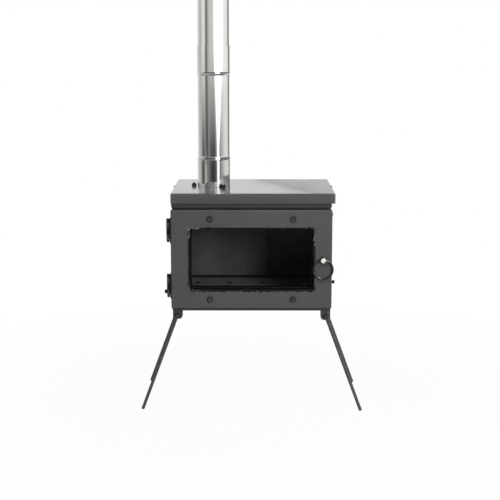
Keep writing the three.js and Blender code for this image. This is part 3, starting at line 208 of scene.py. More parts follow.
class Shader(Nodes):
    """A material's node tree."""

    SOCKETS = {
        "color": "Base Color",
        "metallic": "Metallic",
        "roughness": "Roughness",
        "normal": "Normal",
        "ior": "IOR",
        "coat": "Coat Weight",
        "coat_roughness": "Coat Roughness",
        "specular": "Specular IOR Level",
    }

    def __init__(self, name):
        self.material = bpy.data.materials.new(name)
        self.material.use_nodes = True
        super().__init__(self.material.node_tree)
        self.coordinates = self.add("ShaderNodeTexCoord").outputs["Object"]

    def noise(self, scale, detail=3.0, roughness=0.5, stretch=None, distortion=0.0):
        """Noise with features of about 1/scale metres, longer along an axis whose stretch is under 1."""
        place = self.coordinates
        if stretch:
            place = self.add("ShaderNodeMapping", {"Vector": place, "Scale": stretch})
        inputs = {"Scale": scale, "Detail": detail, "Roughness": roughness, "Distortion": distortion}
        return self.add("ShaderNodeTexNoise", {**inputs, "Vector": place}).outputs["Fac"]

    def spread(self, field, low, high):
        """From low to high over the middle of a noise's values."""
        return self.ramp(field, [(0.3, low), (0.7, high)])

    def bump(self, height, distance, strength=1.0, normal=None):
        inputs = {"Strength": strength, "Distance": distance, "Height": height}
        if normal is not None:
            inputs["Normal"] = normal
        return self.add("ShaderNodeBump", inputs).outputs["Normal"]

    def blend(self, share, first, second):
        """Mixes two surfaces."""
        return self.add("ShaderNodeMixShader", {0: share, 1: first, 2: second})

    def principled(self, **inputs):
        """The material, finished with one principled surface."""
        sockets = {self.SOCKETS[key]: value for key, value in inputs.items()}
        return self.finish(self.add("ShaderNodeBsdfPrincipled", sockets))

    def finish(self, surface):
        self.add("ShaderNodeOutputMaterial", {"Surface": surface})
        return self.material


# ---- Materials ----

PAINT_TONE = 0.065
TOP_TONE = 0.061  # of the cooking top, which heat has darkened a little
SHADED_TONE = 0.046  # painted shade: the rail in the cooking top's shadow and the front frame's strip shaded by the door


def powder_coat(shader, tone):
    """Satin heat-proof powder coat: an even grey with the fine grain of fused powder."""
    base = shader.spread(shader.noise(9.0, detail=4.0), tone * 0.93, tone * 1.07)
    grain = shader.noise(1400.0, detail=2.0)
    speckle = shader.ramp(grain, [(0.35, 0.94), (0.65, 1.06)])
    color = shader.mix(1.0, base, speckle, "MULTIPLY")
    smear = shader.noise(22.0, detail=5.0, stretch=(1.0, 2.4, 1.0))
    roughness = shader.spread(smear, 0.40, 0.50)
    fine = shader.bump(grain, 0.00006, 0.5)
    normal = shader.bump(shader.noise(260.0, detail=2.0), 0.00012, 0.35, normal=fine)
    return color, roughness, normal


def make_paint(name, tone):
    shader = Shader(name)
    color, roughness, normal = powder_coat(shader, tone)
    return shader.principled(color=color, roughness=roughness, normal=normal, ior=1.5)


def inside_mask(shader, low, high):
    """1 within a box of the object's own space, 0 outside it."""
    tests = []
    for place, start, end in zip(shader.split(shader.coordinates), low, high):
        tests.append(shader.math("GREATER_THAN", place, start))
        tests.append(shader.math("LESS_THAN", place, end))
    return shader.product(*tests)


def make_firebox_paint(name, tone, cavity, grate_line_shade, dark, light):
    """The paint outside, soot on every face within the firebox, and a band of painted shade where the grate
    meets them.
    """
    shader = Shader(name)
    color, roughness, normal = powder_coat(shader, tone)
    inside = inside_mask(shader, *cavity)
    streaks = shader.noise(16.0, detail=6.0, roughness=0.62, stretch=(1.0, 1.0, 0.45))
    soot = shader.ramp(streaks, [(0.25, dark), (0.75, light)])
    # Painted shade: a near-black band along the walls just above the grate
    soot = shader.mix(inside_mask(shader, *grate_line_shade), soot, 0.017)
    color = shader.mix(inside, color, soot)
    roughness = shader.math("MAXIMUM", roughness, shader.math("MULTIPLY", inside, 0.82))
    shine = shader.math("SUBTRACT", 0.5, shader.math("MULTIPLY", inside, 0.42))
    return shader.principled(color=color, roughness=roughness, normal=normal, specular=shine)


# The cooking top's dull wedge, in metres: where its left side crosses the middle, and how far that side
# leans for each metre towards the back
WEDGE = {"place": 0.042, "lean": 0.41}
EDGE_STRIP = 1.7  # painted shade: a dark strip down from the top edge of the rim, in millimetres


def dull_wedge(shader):
    """0 to the left of the wedge and up to 1 in it, fading towards the right."""
    x, y, _ = shader.split(shader.coordinates)
    across = shader.math("ADD", x, shader.math("MULTIPLY", y, WEDGE["lean"]))
    wander = shader.math("MULTIPLY", shader.math("SUBTRACT", shader.noise(9.0), 0.5), 0.02)
    across = shader.math("ADD", shader.math("SUBTRACT", across, WEDGE["place"]), wander)
    place = shader.math("ADD", shader.math("MULTIPLY", across, 5.0), 0.25)
    return shader.ramp(place, [(0.0, 0.06), (0.16, 0.14), (0.25, 0.32), (0.38, 0.92), (0.75, 0.60)])


def make_top_paint():
    """The cooking top's paint, rubbed a little smoother by pans, with a strip of painted shade along its
    front edge.
    """
    shader = Shader("top_paint")
    color, roughness, normal = powder_coat(shader, TOP_TONE)
    low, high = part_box("top_plate")
    # Painted shade: a dark strip on the rim just under the front edge's bend
    strip = ((low.x, low.y - MM, high.z - EDGE_STRIP * MM), (high.x, low.y + 0.3 * MM, high.z + MM))
    rubbed = shader.noise(7.0, stretch=(1.0, 0.45, 1.0), distortion=0.4)
    return shader.principled(
        color=shader.mix(inside_mask(shader, *strip), color, 0.020),
        roughness=shader.math("MULTIPLY", roughness, shader.spread(rubbed, 0.62, 0.82)),
        normal=normal,
        ior=1.6,
        coat=shader.math("SUBTRACT", 0.95, shader.math("MULTIPLY", dull_wedge(shader), 0.72)),
        coat_roughness=0.11,
    )


def make_bare_steel():
    """Mild steel darkened by heat, with ash in its grain."""
    shader = Shader("bare_steel")
    blotch = shader.noise(38.0, detail=6.0, roughness=0.6)
    tones = [(0.25, (0.045, 0.042, 0.039)), (0.55, (0.078, 0.074, 0.068)), (0.8, (0.128, 0.120, 0.110))]
    return shader.principled(
        color=shader.ramp(blotch, tones),
        roughness=shader.spread(blotch, 0.62, 0.85),
        normal=shader.bump(shader.noise(420.0), 0.0001, 0.5),
        metallic=0.35,
    )


def make_ash_steel():
    """The grate: sooty steel with a film of ash on its upper face, paler towards the door."""
    shader = Shader("ash_steel")
    ash = shader.noise(30.0, detail=6.0, roughness=0.6)
    film = shader.ramp(ash, [(0.25, 0.26), (0.75, (0.50, 0.495, 0.49))])
    depth = shader.split(shader.coordinates)[1]
    # The ash film grows paler towards the door
    paler_to_door = shader.math("MULTIPLY", shader.math("SUBTRACT", 0.06, depth), 6.0, clamp=True)
    film = shader.mix(paler_to_door, film, (0.80, 0.79, 0.78))
    facing = shader.split(shader.add("ShaderNodeNewGeometry").outputs["Normal"])
    upper = shader.math("GREATER_THAN", facing[2], 0.8)
    return shader.principled(
        color=shader.mix(upper, 0.013, film),
        roughness=shader.spread(ash, 0.45, 0.7),
        normal=shader.bump(shader.noise(500.0), 0.0001, 0.4),
    )


def make_small_steel(name, tone, roughness, bump, **rest):
    """The finish of small steel pieces. tone is the scale of its noise with a dark and a light grey, bump
    is the scale of its noise with a depth and a strength, and roughness is one number or has two ends."""
    shader = Shader(name)
    color = shader.spread(shader.noise(tone[0]), *tone[1:])
    if isinstance(roughness, tuple):
        roughness = shader.spread(shader.noise(700.0), *roughness)
    normal = shader.bump(shader.noise(bump[0]), *bump[1:])
    return shader.principled(color=color, roughness=roughness, normal=normal, **rest)


def make_stainless():
    """Polished stainless tube: nearly a mirror, with faint drawing lines along it."""
    shader = Shader("stainless")
    lines = shader.noise(900.0, detail=2.0, stretch=(1.0, 1.0, 0.012))
    smudge = shader.noise(24.0, detail=4.0)
    wave = shader.bump(shader.noise(11.0, detail=1.0, stretch=(1.0, 1.0, 0.2)), 0.0012, 0.10)
    return shader.principled(
        color=shader.spread(smudge, (0.80, 0.80, 0.79), (0.87, 0.87, 0.86)),
        roughness=shader.spread(lines, 0.035, 0.06),
        normal=shader.bump(lines, 0.000012, 0.35, normal=wave),
        metallic=1.0,
    )


def make_bright_steel():
    """Dull zinc plating with fine turning marks."""
    shader = Shader("bright_steel")
    marks = shader.noise(1500.0, detail=2.0)
    color = shader.spread(marks, (0.78, 0.76, 0.70), (0.88, 0.87, 0.82))
    return shader.principled(color=color, roughness=shader.spread(marks, 0.36, 0.48), metallic=0.3)


def make_fibre(name, dark, light):
    """Glass fibre: dull, with a thread pattern about half a millimetre across."""
    shader = Shader(name)
    thread = shader.noise(1900.0, detail=2.0)
    color = shader.ramp(thread, [(0.35, dark), (0.65, light)])
    normal = shader.bump(thread, 0.0002, 0.7)
    return shader.principled(color=color, roughness=0.92, normal=normal, specular=0.25)


def make_glass():
    """Ceramic pane: light passes straight through, and a faint film of smoke dulls it in places."""
    shader = Shader("glass")
    clear = shader.add("ShaderNodeBsdfTransparent", {"Color": (0.90, 0.895, 0.89)})
    gloss = shader.add("ShaderNodeBsdfGlossy", {"Color": 1.0, "Roughness": 0.03})
    film = shader.add("ShaderNodeBsdfDiffuse", {"Color": (0.05, 0.049, 0.048)})
    pane = shader.blend(shader.add("ShaderNodeFresnel", {"IOR": 1.45}), clear, gloss)
    haze = shader.ramp(shader.noise(14.0, detail=5.0), [(0.45, 0.0), (0.85, 0.08)])
    return shader.finish(shader.blend(haze, pane, film))


# ---- Meshes ----

SMOOTH_ANGLE = math.radians(38.0)


def add_object(name, vertices, faces, material, smooth=True):
    mesh = bpy.data.meshes.new(name)
    mesh.from_pydata([tuple(v) for v in vertices], [], faces)
    mesh.validate()
    mesh.update()
    if smooth:
        mesh.polygons.foreach_set("use_smooth", [True] * len(mesh.polygons))
        mesh.set_sharp_from_angle(angle=SMOOTH_ANGLE)
    mesh.materials.append(material)
    made = bpy.data.objects.new(name, mesh)
    bpy.context.scene.collection.objects.link(made)
    return made


def hexagon_reach(angle, apothem):
    """From the centre to a hexagon's side, at an angle from one of its corners."""
    wrapped = (angle % (math.pi / 3)) - math.pi / 6
    return apothem / math.cos(wrapped)


def turned(profile, sides):
    """A profile of (radius, height) or (radius, height, apothem) round +Z. With an apothem, the ring is a
    hexagon cut off at the radius. A radius of 0 ends the profile, and otherwise it closes on itself."""
    vertices, rings = [], []
    for radius, height, *apothem in profile:
        if radius == 0:
            rings.append([len(vertices)])
            vertices.append(Vector((0.0, 0.0, height)))
            continue
        ring = []
        for i in range(sides):
            angle = 2 * math.pi * i / sides
            reach = min(radius, hexagon_reach(angle, apothem[0])) if apothem else radius
            ring.append(len(vertices))
            vertices.append(Vector((reach * math.cos(angle), reach * math.sin(angle), height)))
        rings.append(ring)
    faces = []
    pairs = list(zip(rings, rings[1:]))
    if len(rings[0]) > 1:
        pairs.append((rings[-1], rings[0]))
    for low, high in pairs:
        for i in range(sides):
            j = (i + 1) % sides
            if len(low) == 1:
                faces.append((low[0], high[j], high[i]))
            elif len(high) == 1:
                faces.append((low[i], low[j], high[0]))
            else:
                faces.append((low[i], low[j], high[j], high[i]))
    return vertices, faces


def placed(vertices, place, towards=(0, 0, 1)):
    """Points in millimetres round +Z, turned to point somewhere and moved to a place in metres."""
    turn = Vector((0, 0, 1)).rotation_difference(Vector(towards)).to_matrix()
    return [Vector(place) + turn @ (v * MM) for v in vertices]


def turned_at(name, profile, place, towards, material, sides=48):
    """A turned piece with its profile in millimetres, standing at a place and pointing somewhere."""
    vertices, faces = turned(profile, sides)
    return add_object(name, placed(vertices, place, towards), faces, material)


def joined(name, parts, material):
    """One object from several lists of vertices and faces."""
    vertices, faces = [], []
    for part_vertices, part_faces in parts:
        start = len(vertices)
        vertices.extend(part_vertices)
        faces.extend(tuple(start + i for i in face) for face in part_faces)
    return add_object(name, vertices, faces, material)


def skin(rings, sides, closed=False, outward=False):
    """Faces between rings of vertices that follow one another. If it is closed, the last ring meets the
    first, and otherwise both ends are capped. outward turns the faces over."""
    faces = []
    for i in range(rings if closed else rings - 1):
        here, following = i * sides, (i + 1) % rings * sides
        for k in range(sides):
            n = (k + 1) % sides
            faces.append((here + k, following + k, following + n, here + n))
    if not closed:
        faces.append(tuple(range(sides)))
        faces.append(tuple(reversed(range((rings - 1) * sides, rings * sides))))
    return [face[:1] + face[:0:-1] for face in faces] if outward else faces


def stand_for(piece, node):
    """The piece takes the place and the body of a CAD node, which is hidden."""
    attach(piece, NODES[node]["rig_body"])
    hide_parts(node)


def middle_of(node):
    low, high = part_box(node)
    return (low + high) / 2


# ---- Sheet pieces of the frame: rounded edges ----


def dress(node, material, edge=0.35):
    """Gives a CAD node its material and, without touching its mesh, softened edges."""
    part = NODES[node]
    mesh = part.data
    mesh.materials.clear()
    mesh.materials.append(material)
    if "custom_normal" in mesh.attributes:
        mesh.attributes.remove(mesh.attributes["custom_normal"])
    mesh.polygons.foreach_set("use_smooth", [True] * len(mesh.polygons))
    # Joined and freed of the flat faces' inner edges, it takes a bevel along its real edges alone
    weld = part.modifiers.new("weld", "WELD")
    weld.merge_threshold = 0.00001
    flat = part.modifiers.new("flat", "DECIMATE")
    flat.decimate_type = "DISSOLVE"
    flat.angle_limit = math.radians(1.0)
    bevel = part.modifiers.new("edges", "BEVEL")
    bevel.width = edge * MM
    bevel.segments = 2
    bevel.limit_method = "ANGLE"
    bevel.angle_limit = math.radians(25.0)
    weighted = part.modifiers.new("normals", "WEIGHTED_NORMAL")
    weighted.keep_sharp = True
    weighted.weight = 100


# ---- Screws and nuts ----


def button_profile(head, head_height, size, length):
    """A domed head over z = 0 with a hexagon socket, and a threaded shank below."""
    shank, socket = HEADS[size]["shank"], HEADS[size]["socket"]
    profile = [(0, -length), (shank * 0.8, -length), (shank, -length + shank * 0.3)]
    turns = int((length - shank * 0.3 - 0.4) / THREAD_PITCH)
    for i in range(turns):
        z = -length + shank * 0.3 + 0.2 + i * THREAD_PITCH
        profile += [(shank, z), (shank - THREAD_DEPTH, z + THREAD_PITCH * 0.5)]
    profile += [(shank, -0.15), (shank, 0), (head * 0.94, 0), (head, head_height * 0.08)]
    profile += [(head, head_height * 0.34)]
    for k in range(1, 7):
        angle = math.radians(15 * k)
        rise = head_height * (0.34 + 0.66 * math.sin(angle))
        profile.append((head - (head - socket * 1.25) * (1 - math.cos(angle)), rise))
    apothem = socket * math.cos(math.pi / 6)
    floor = head_height * 0.45
    profile += [(socket * 1.12, head_height * 0.985)]
    profile += [(socket, head_height * 0.93, apothem), (socket, floor, apothem)]
    profile += [(0, floor - socket * 0.3)]
    return profile


def darken_rim(screw, centre, axis, head, material):
    """Gives a second material, which paints shade, to a head's rim and to its socket; head is its radius in
    metres.
    """
    screw.data.materials.append(material)
    for face in screw.data.polygons:
        away = face.center - centre
        away[axis] = 0.0
        if not head * SOCKET_SHARE <= away.length <= head * RIM_SHARE:
            face.material_index = 1


def button_screw(node, towards, size, head_height=None, material=None, rim=None):
    """Replaces a CAD screw by a fine one. The head points towards a direction."""
    low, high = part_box(node)
    axis = max(range(3), key=lambda i: abs(towards[i]))
    centre = (low + high) / 2
    head_height = head_height or HEADS[size]["height"]
    reach = high if towards[axis] > 0 else low
    seat = centre.copy()
    seat[axis] = reach[axis] - towards[axis] * head_height * MM
    head = (high - low)[(axis + 1) % 3] / 2 / MM
    length = (high - low)[axis] / MM - head_height
    profile = button_profile(head, head_height, size, length)
    screw = turned_at(node + "_fine", profile, seat, towards, material)
    if rim:
        darken_rim(screw, centre, axis, head * MM, rim)
    stand_for(screw, node)


def hexagon_nut_profile(corner, height, bore):
    """A chamfered hexagon nut from z = 0 up."""
    apothem = corner * math.cos(math.pi / 6)
    chamfer = corner * 0.09
    return [
        (bore, height * 0.06),
        (bore * 1.12, 0),
        (apothem, 0, apothem),
        (corner * 1.01, chamfer, apothem),
        (corner * 1.01, height - chamfer, apothem),
        (apothem, height, apothem),
        (bore * 1.12, height),
        (bore, height * 0.94),
    ]


def nut(node, towards, bore, material):
    """Replaces a CAD nut by a chamfered one, which points up or to the back."""
    low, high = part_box(node)
    axis = towards.index(1)
    seat = middle_of(node)
    seat[axis] = low[axis]
    profile = hexagon_nut_profile((high.x - low.x) / 2 / MM, (high - low)[axis] / MM, bore)
    stand_for(turned_at(node + "_fine", profile, seat, towards, material), node)


def flue_bolt(node, material):
    """A cap nut on the cooking top with the bolt's shank below it."""
    low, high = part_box(node)
    place = middle_of(node)
    place.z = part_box("top_plate")[1].z + 0.25 * MM
    top, foot = (high.z - place.z) / MM, (low.z - place.z) / MM
    shank, corner, hexagon, dome = 1.9, 4.6, 3.3, 3.85
    apothem = corner * math.cos(math.pi / 6)
    profile = [(0, foot), (shank - 0.2, foot), (shank, foot + 0.3), (shank, 0), (corner - 0.3, 0)]
    profile += [(corner, 0.35, apothem), (corner, hexagon - 0.4, apothem)]
    profile += [(apothem, hexagon - 0.05, apothem), (dome + 0.05, hexagon)]
    for k in range(1, 9):
        angle = math.radians(90 * k / 9)
        profile.append((dome * math.cos(angle), hexagon + 0.1 + (top - hexagon - 0.1) * math.sin(angle)))
    profile.append((0, top))
    stand_for(turned_at(node + "_fine", profile, place, (0, 0, 1), material), node)


# ---- Chimney ----


def tube_profile(stretches):
    """Wall of a chimney section, in millimetres: stretches of (radius, top height), with a round bead
    rolled outwards between two stretches, outside and inside."""
    outside, inside = [], []
    for i, (radius, top) in enumerate(stretches):
        bottom = stretches[i - 1][1] + BEAD_LENGTH / 2 if i else 0.0
        last = i == len(stretches) - 1
        end = top if last else top - BEAD_LENGTH / 2
        for share in (0.0, 0.01, 0.02, 0.5, 0.98, 0.99, 1.0):
            z = bottom + (end - bottom) * share
            outside.append((radius, z))
            inside.append((radius - PIPE_WALL, z))
        if last:
            continue
        above = stretches[i + 1][0]
        for k in range(1, 12):
            share = k / 12
            base = radius + (above - radius) * share
            swell = BEAD_RADIUS * math.sin(math.pi * share) ** 2
            z = top - BEAD_LENGTH / 2 + BEAD_LENGTH * share
            outside.append((base + swell, z))
            inside.append((base - PIPE_WALL + swell * 0.85, z))
    lip = outside[-1]
    outside[-1] = (lip[0], lip[1] - 0.05)
    rim = [(lip[0] - 0.1, lip[1]), (lip[0] - PIPE_WALL + 0.1, lip[1])]
    return outside + rim + inside[::-1]


def welded_seam(radius, low, high):
    """A flat bead of weld up the back of a tube, as vertices and faces in millimetres."""
    half = SEAM_WIDTH / 2
    section = [(-half, -0.15), (half, -0.15), (half * 0.6, 0.07), (0.0, 0.12), (-half * 0.6, 0.07)]
    steps = int((high - low) / 3)
    vertices = []
    for i in range(steps + 1):
        wobble = 0.06 * math.sin(i * 1.7)
        z = low + (high - low) * i / steps
        vertices += [Vector((x + wobble, radius + out, z)) for x, out in section]
    return vertices, skin(steps + 1, len(section))


def chimney_section(node, stretches, seam_foot, material):
    """A tube in stretches of (radius, top height), with a weld up its back from seam_foot on."""
    foot = middle_of(node)
    foot.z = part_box(node)[0].z
    parts = [turned(tube_profile(stretches), 160)]
    for radius, top in stretches:
        margin = 1.0 if top == stretches[-1][1] else BEAD_LENGTH / 2
        parts.append(welded_seam(radius, seam_foot, top - margin))
        seam_foot = top + BEAD_LENGTH / 2
    parts = [(placed(vertices, foot), faces) for vertices, faces in parts]
    stand_for(joined(node + "_fine", parts, material), node)


def make_chimney(material):
    low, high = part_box("pipe_lower")
    top = (high.z - low.z) / MM
    bead_top = SLEEVE_HEIGHT + BARREL_HEIGHT
    lower = [(SLEEVE_RADIUS, SLEEVE_HEIGHT), (BARREL_RADIUS, bead_top), (BELL_RADIUS, top)]
    chimney_section("pipe_lower", lower, 1.0, material)
    # The upper section's weld starts above the bell that it is plugged into
    upper = [(PLUG_RADIUS, bead_top), (BELL_RADIUS, top)]
    chimney_section("pipe_upper", upper, top - bead_top + 2.0, material)


# ---- Latch ----


def wire_ring(centre, track, wire, start, turn, steps, closed=False):
    """Vertices and faces of wire bent round an axis to the back, from an angle on by a turn in radians."""
    sides = 20
    rings = steps if closed else steps + 1
    vertices = []
    for i in range(rings):
        angle = start + turn * i / steps
        spoke = Vector((math.cos(angle), 0.0, math.sin(angle)))
        for k in range(sides):
            round_wire = 2 * math.pi * k / sides
            reach = track + wire * math.cos(round_wire)
            vertices.append(centre + spoke * reach + Vector((0.0, wire * math.sin(round_wire), 0.0)))
    return vertices, skin(rings, sides, closed, outward=True)


def make_latch_ring(material):
    """One wire: a small eye round the screw, and from one side of the eye to the other the big ring."""
    low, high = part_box("latch_ring")
    wire = RING_WIRE * MM
    track = (high.x - low.x) / 2 - wire
    centre = middle_of("latch_ring")
    centre.z = low.z + wire + track
    eye = middle_of("latch_screw")
    eye.y = centre.y
    eye_track = high.z - eye.z - wire
    cosine = (centre.z + track - eye.z + track) / (2 * track)
    gap = math.asin(min(1.0, (eye_track + wire * 0.2) / track)) * cosine
    full = 2 * math.pi
    parts = [
        wire_ring(centre, track, wire, math.pi / 2 + gap, full - 2 * gap, 120),
        wire_ring(eye, eye_track, wire, 0.0, full, 48, closed=True),
    ]
    stand_for(joined("latch_ring_fine", parts, material), "latch_ring")


def make_latch_washer(material):
    low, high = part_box("latch_washer")
    place = middle_of("latch_washer")
    place.y = high.y
    radius = (high.x - low.x) / 2 / MM
    height = (high.y - low.y) / MM
    chamfer = 0.2
    profile = [
        (WASHER_BORE, 0.0),
        (radius - chamfer, 0.0),
        (radius, chamfer),
        (radius, height - chamfer),
        (radius - chamfer, height),
        (WASHER_BORE, height),
    ]
    stand_for(turned_at("latch_washer_fine", profile, place, (0, -1, 0), material), "latch_washer")


# ---- Legs ----


def make_leg(node, bolt, material):
    """A rod with a forged eye: the rod runs from the eye to its rounded foot on the floor."""
    low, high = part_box(node)
    pivot = middle_of(bolt)
    pivot.y = middle_of(node).y
    foot_x = high.x - LEG_ROD * MM if pivot.x > 0 else low.x + LEG_ROD * MM
    run = Vector((foot_x, pivot.y, 0.0)) - pivot
    r, eye = LEG_ROD, LEG_EYE
    shoulder = run.length / MM - r * 0.9
    rod = [(0, 0), (r * 1.15, 0), (r * 1.12, eye * 0.8), (r * 1.02, eye * 1.6), (r, eye * 2), (r, shoulder)]
    for degrees in range(15, 90, 15):
        angle = math.radians(degrees)
        rod.append((r * math.cos(angle), shoulder + r * math.sin(angle)))
    rod.append((0, shoulder + r))
    vertices, faces = turned(rod, 32)
    # The foot is ground flat where it meets the floor
    shaft = [Vector((v.x, v.y, max(v.z, 0.0))) for v in placed(vertices, pivot, run.normalized())]
    half = [(LEG_BORE, r - 0.3), (LEG_BORE + 0.3, r), (eye - 0.7, r), (eye, r - 0.7)]
    ring, ring_faces = turned([(reach, -z) for reach, z in half] + half[::-1], 40)
    parts = [(shaft, faces), (placed(ring, pivot, (0, 1, 0)), ring_faces)]
    stand_for(joined(node + "_fine", parts, material), node)


def make_leg_bolt(node, material, rim):
    """The pivot bolt: a button head at the front and a nut at the back."""
    low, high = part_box(node)
    centre = middle_of(node)
    head = HEADS["M5"]["height"]
    seat = Vector((centre.x, low.y + head * MM, centre.z))
    length = (high.y - seat.y) / MM
    nut_seat = seat + Vector((0.0, length - LEG_NUT_STEM, 0.0)) * MM
    forward = (0, -1, 0)
    bolt, bolt_faces = turned(button_profile(LEG_BOLT_HEAD, head, "M5", length), 48)
    back, back_faces = turned(hexagon_nut_profile(LEG_BOLT_HEAD, LEG_NUT_HEIGHT, HEADS["M5"]["shank"]), 48)
    parts = [(placed(bolt, seat, forward), bolt_faces), (placed(back, nut_seat, forward), back_faces)]
    made = joined(node + "_fine", parts, material)
    darken_rim(made, centre, 1, LEG_BOLT_HEAD * MM, rim)
    stand_for(made, node)


# ---- Fibre: the frayed gasket round the window, the rope behind the glass and the tape at the back ----


def rectangle_walk(x0, x1, z0, z1, corner, step):
    """Points round a rounded rectangle in X and Z with their outward directions, about a step apart."""
    points = []
    sides = [
        ((x0 + corner, z0), (x1 - corner, z0), -90),
        ((x1, z0 + corner), (x1, z1 - corner), 0),
        ((x1 - corner, z1), (x0 + corner, z1), 90),
        ((x0, z1 - corner), (x0, z0 + corner), 180),
    ]
    for (xa, za), (xb, zb), facing in sides:
        length = math.hypot(xb - xa, zb - za)
        count = max(1, round(length / step))
        out = Vector((math.cos(math.radians(facing)), 0.0, math.sin(math.radians(facing))))
        for i in range(count):
            share = i / count
            points.append((Vector((xa + (xb - xa) * share, 0.0, za + (zb - za) * share)), out))
        centre = Vector((xb, 0.0, zb)) - out * corner
        arc_steps = max(2, round(corner * math.pi / 2 / step))
        for i in range(arc_steps):
            angle = math.radians(facing + 90 * i / arc_steps)
            spoke = Vector((math.cos(angle), 0.0, math.sin(angle)))
            points.append((centre + spoke * corner, spoke))
    return points


def window_edges():
    """The window's corners in X and Z, from the glass behind it."""
    low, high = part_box("door_glass")
    lap = GLASS_LAP * MM
    return low.x + lap, high.x - lap, low.z + lap, high.z - lap


def make_gasket(material, pale):
    """A flat fibre frame whose inner edge is frayed: tufts lap over the door's cut edge."""
    x0, x1, z0, z1 = window_edges()
    low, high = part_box("glass_gasket")
    walk = rectangle_walk(x0, x1, z0, z1, WINDOW_CORNER * MM, 0.55 * MM)
    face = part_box("door_panel")[0].y
    vertices = []
    for point, out in walk:
        coarse = noise.noise(Vector((point.x, 0.0, point.z)) * 75.0)
        fine = noise.noise(Vector((point.x, 3.0, point.z)) * 230.0)
        wisp = noise.noise(Vector((point.x, 5.0, point.z)) * 460.0)
        inward = (2.0 + 1.6 * coarse + 1.6 * fine + 0.8 * wisp) * MM
        lap = (GASKET_LAP - 0.9 * out.z + 1.5 * coarse + 2.6 * fine + 1.8 * wisp) * MM
        lap = max(lap, 0.05 * MM)
        bulge = max(0.0, (0.35 + 0.45 * noise.noise(Vector((point.x, 7.0, point.z)) * 500.0)) * MM)
        section = [
            (GASKET_WIDTH * MM, high.y),
            (GASKET_WIDTH * MM, low.y),
            (-0.3 * MM, low.y),
            (-0.25 * MM, face - 0.15 * MM),
            (lap, face - 0.12 * MM),
            (lap * 0.6, face - 0.25 * MM - bulge * 0.5),
            (-inward * 0.5, face - 0.2 * MM - bulge),
            (-inward, face + 0.5 * MM),
            (-inward * 0.9, high.y - 0.1 * MM),
            (-inward * 0.5, high.y),
        ]
        vertices += [Vector((point.x + out.x * reach, y, point.z + out.z * reach)) for reach, y in section]
    faces = skin(len(walk), len(section), closed=True, outward=True)
    stand_for(add_object("gasket_roll", vertices, faces, material, smooth=False), "glass_gasket")
    make_fringe("gasket_fringe", walk, face, material, 1500, 11)
    make_fringe("gasket_loose_ends", walk, face, pale, 130, 5, stoutness=1.1, corners_only=True)


def make_fringe(name, walk, face, material, count, seed, stoutness=1.0, corners_only=False):
    """Loose fibre ends round the window: thin tapered hairs in every direction off the door's edge."""
    pick = random.Random(seed)
    vertices, faces = [], []
    for point, out in fringe_spots(walk, pick, count, corners_only):
        root = Vector((point.x, face - 0.1 * MM, point.z)) - out * 0.4 * MM
        along = Vector((-out.z, 0.0, out.x))
        lean = pick.uniform(-1.2, 1.2)
        reach = pick.uniform(-1.0, 0.75)
        aim = (out * reach + along * lean + Vector((0.0, pick.uniform(-0.55, 0.0), 0.0))).normalized()
        length = pick.uniform(*HAIR_LENGTH) * MM
        thick = pick.uniform(*HAIR_RADIUS) * stoutness * MM
        bend = Vector((pick.uniform(-0.4, 0.4), pick.uniform(-0.25, 0.0), pick.uniform(-0.4, 0.4)))
        add_hair(vertices, faces, root, aim, bend, length, thick)
    fringe = add_object(name, vertices, faces, material, smooth=False)
    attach(fringe, "door")


def fringe_spots(walk, pick, count, corners_only):
    """Where hairs start: anywhere, or near three of the corners and most of all near the upper left."""
    if not corners_only:
        return [pick.choice(walk) for _ in range(count)]
    x0, x1, z0, z1 = window_edges()
    centres = [Vector((x0, 0, z1)), Vector((x0, 0, z1)), Vector((x0, 0, z0)), Vector((x1, 0, z1 - 0.02))]
    spots = []
    while len(spots) < count:
        centre = pick.choice(centres)
        spot = pick.choice(walk)
        if (spot[0] - centre).length < pick.uniform(0.004, 0.024):
            spots.append(spot)
    return spots


def add_hair(vertices, faces, root, aim, bend, length, thick):
    """A three-sided hair in three steps, tapered to a point."""
    side = aim.orthogonal().normalized()
    other = aim.cross(side)
    start = len(vertices)
    steps = 3
    for i in range(steps):
        share = i / steps
        centre = root + aim * length * share + bend * length * share * share
        radius = thick * (1 - share * 0.6)
        for k in range(3):
            angle = 2 * math.pi * k / 3
            vertices.append(centre + side * radius * math.cos(angle) + other * radius * math.sin(angle))
    tip = len(vertices)
    vertices.append(root + aim * length + bend * length)
    faces.append((start + 2, start + 1, start))
    for i in range(steps - 1):
        for k in range(3):
            n = (k + 1) % 3
            a, b = start + i * 3 + k, start + i * 3 + n
            faces.append((a, b, b + 3, a + 3))
    last = start + (steps - 1) * 3
    for k in range(3):
        faces.append((last + k, last + (k + 1) % 3, tip))


def make_rope(material):
    """The braided rope between the glass and the front frame: two sets of strands wind opposite ways."""
    low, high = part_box("door_seal")
    radius = (high.y - low.y) / 2
    middle = (low.y + high.y) / 2
    edges = (low.x + radius, high.x - radius, low.z + radius, high.z - radius)
    walk = rectangle_walk(*edges, radius + 2 * MM, 0.8 * MM)
    sides = 20
    vertices = []
    travelled = 0.0
    for i, (point, out) in enumerate(walk):
        if i:
            travelled += (point - walk[i - 1][0]).length
        wind = travelled / (ROPE_LAY * MM) * 2 * math.pi
        for k in range(sides):
            angle = 2 * math.pi * k / sides
            weave = math.sin(4 * angle + wind) * math.sin(4 * angle - wind)
            reach = radius * (0.93 + 0.065 * weave)
            place = point + out * reach * math.cos(angle)
            vertices.append(Vector((place.x, middle + reach * math.sin(angle), place.z)))
    faces = skin(len(walk), sides, closed=True)
    stand_for(add_object("door_rope", vertices, faces, material), "door_seal")


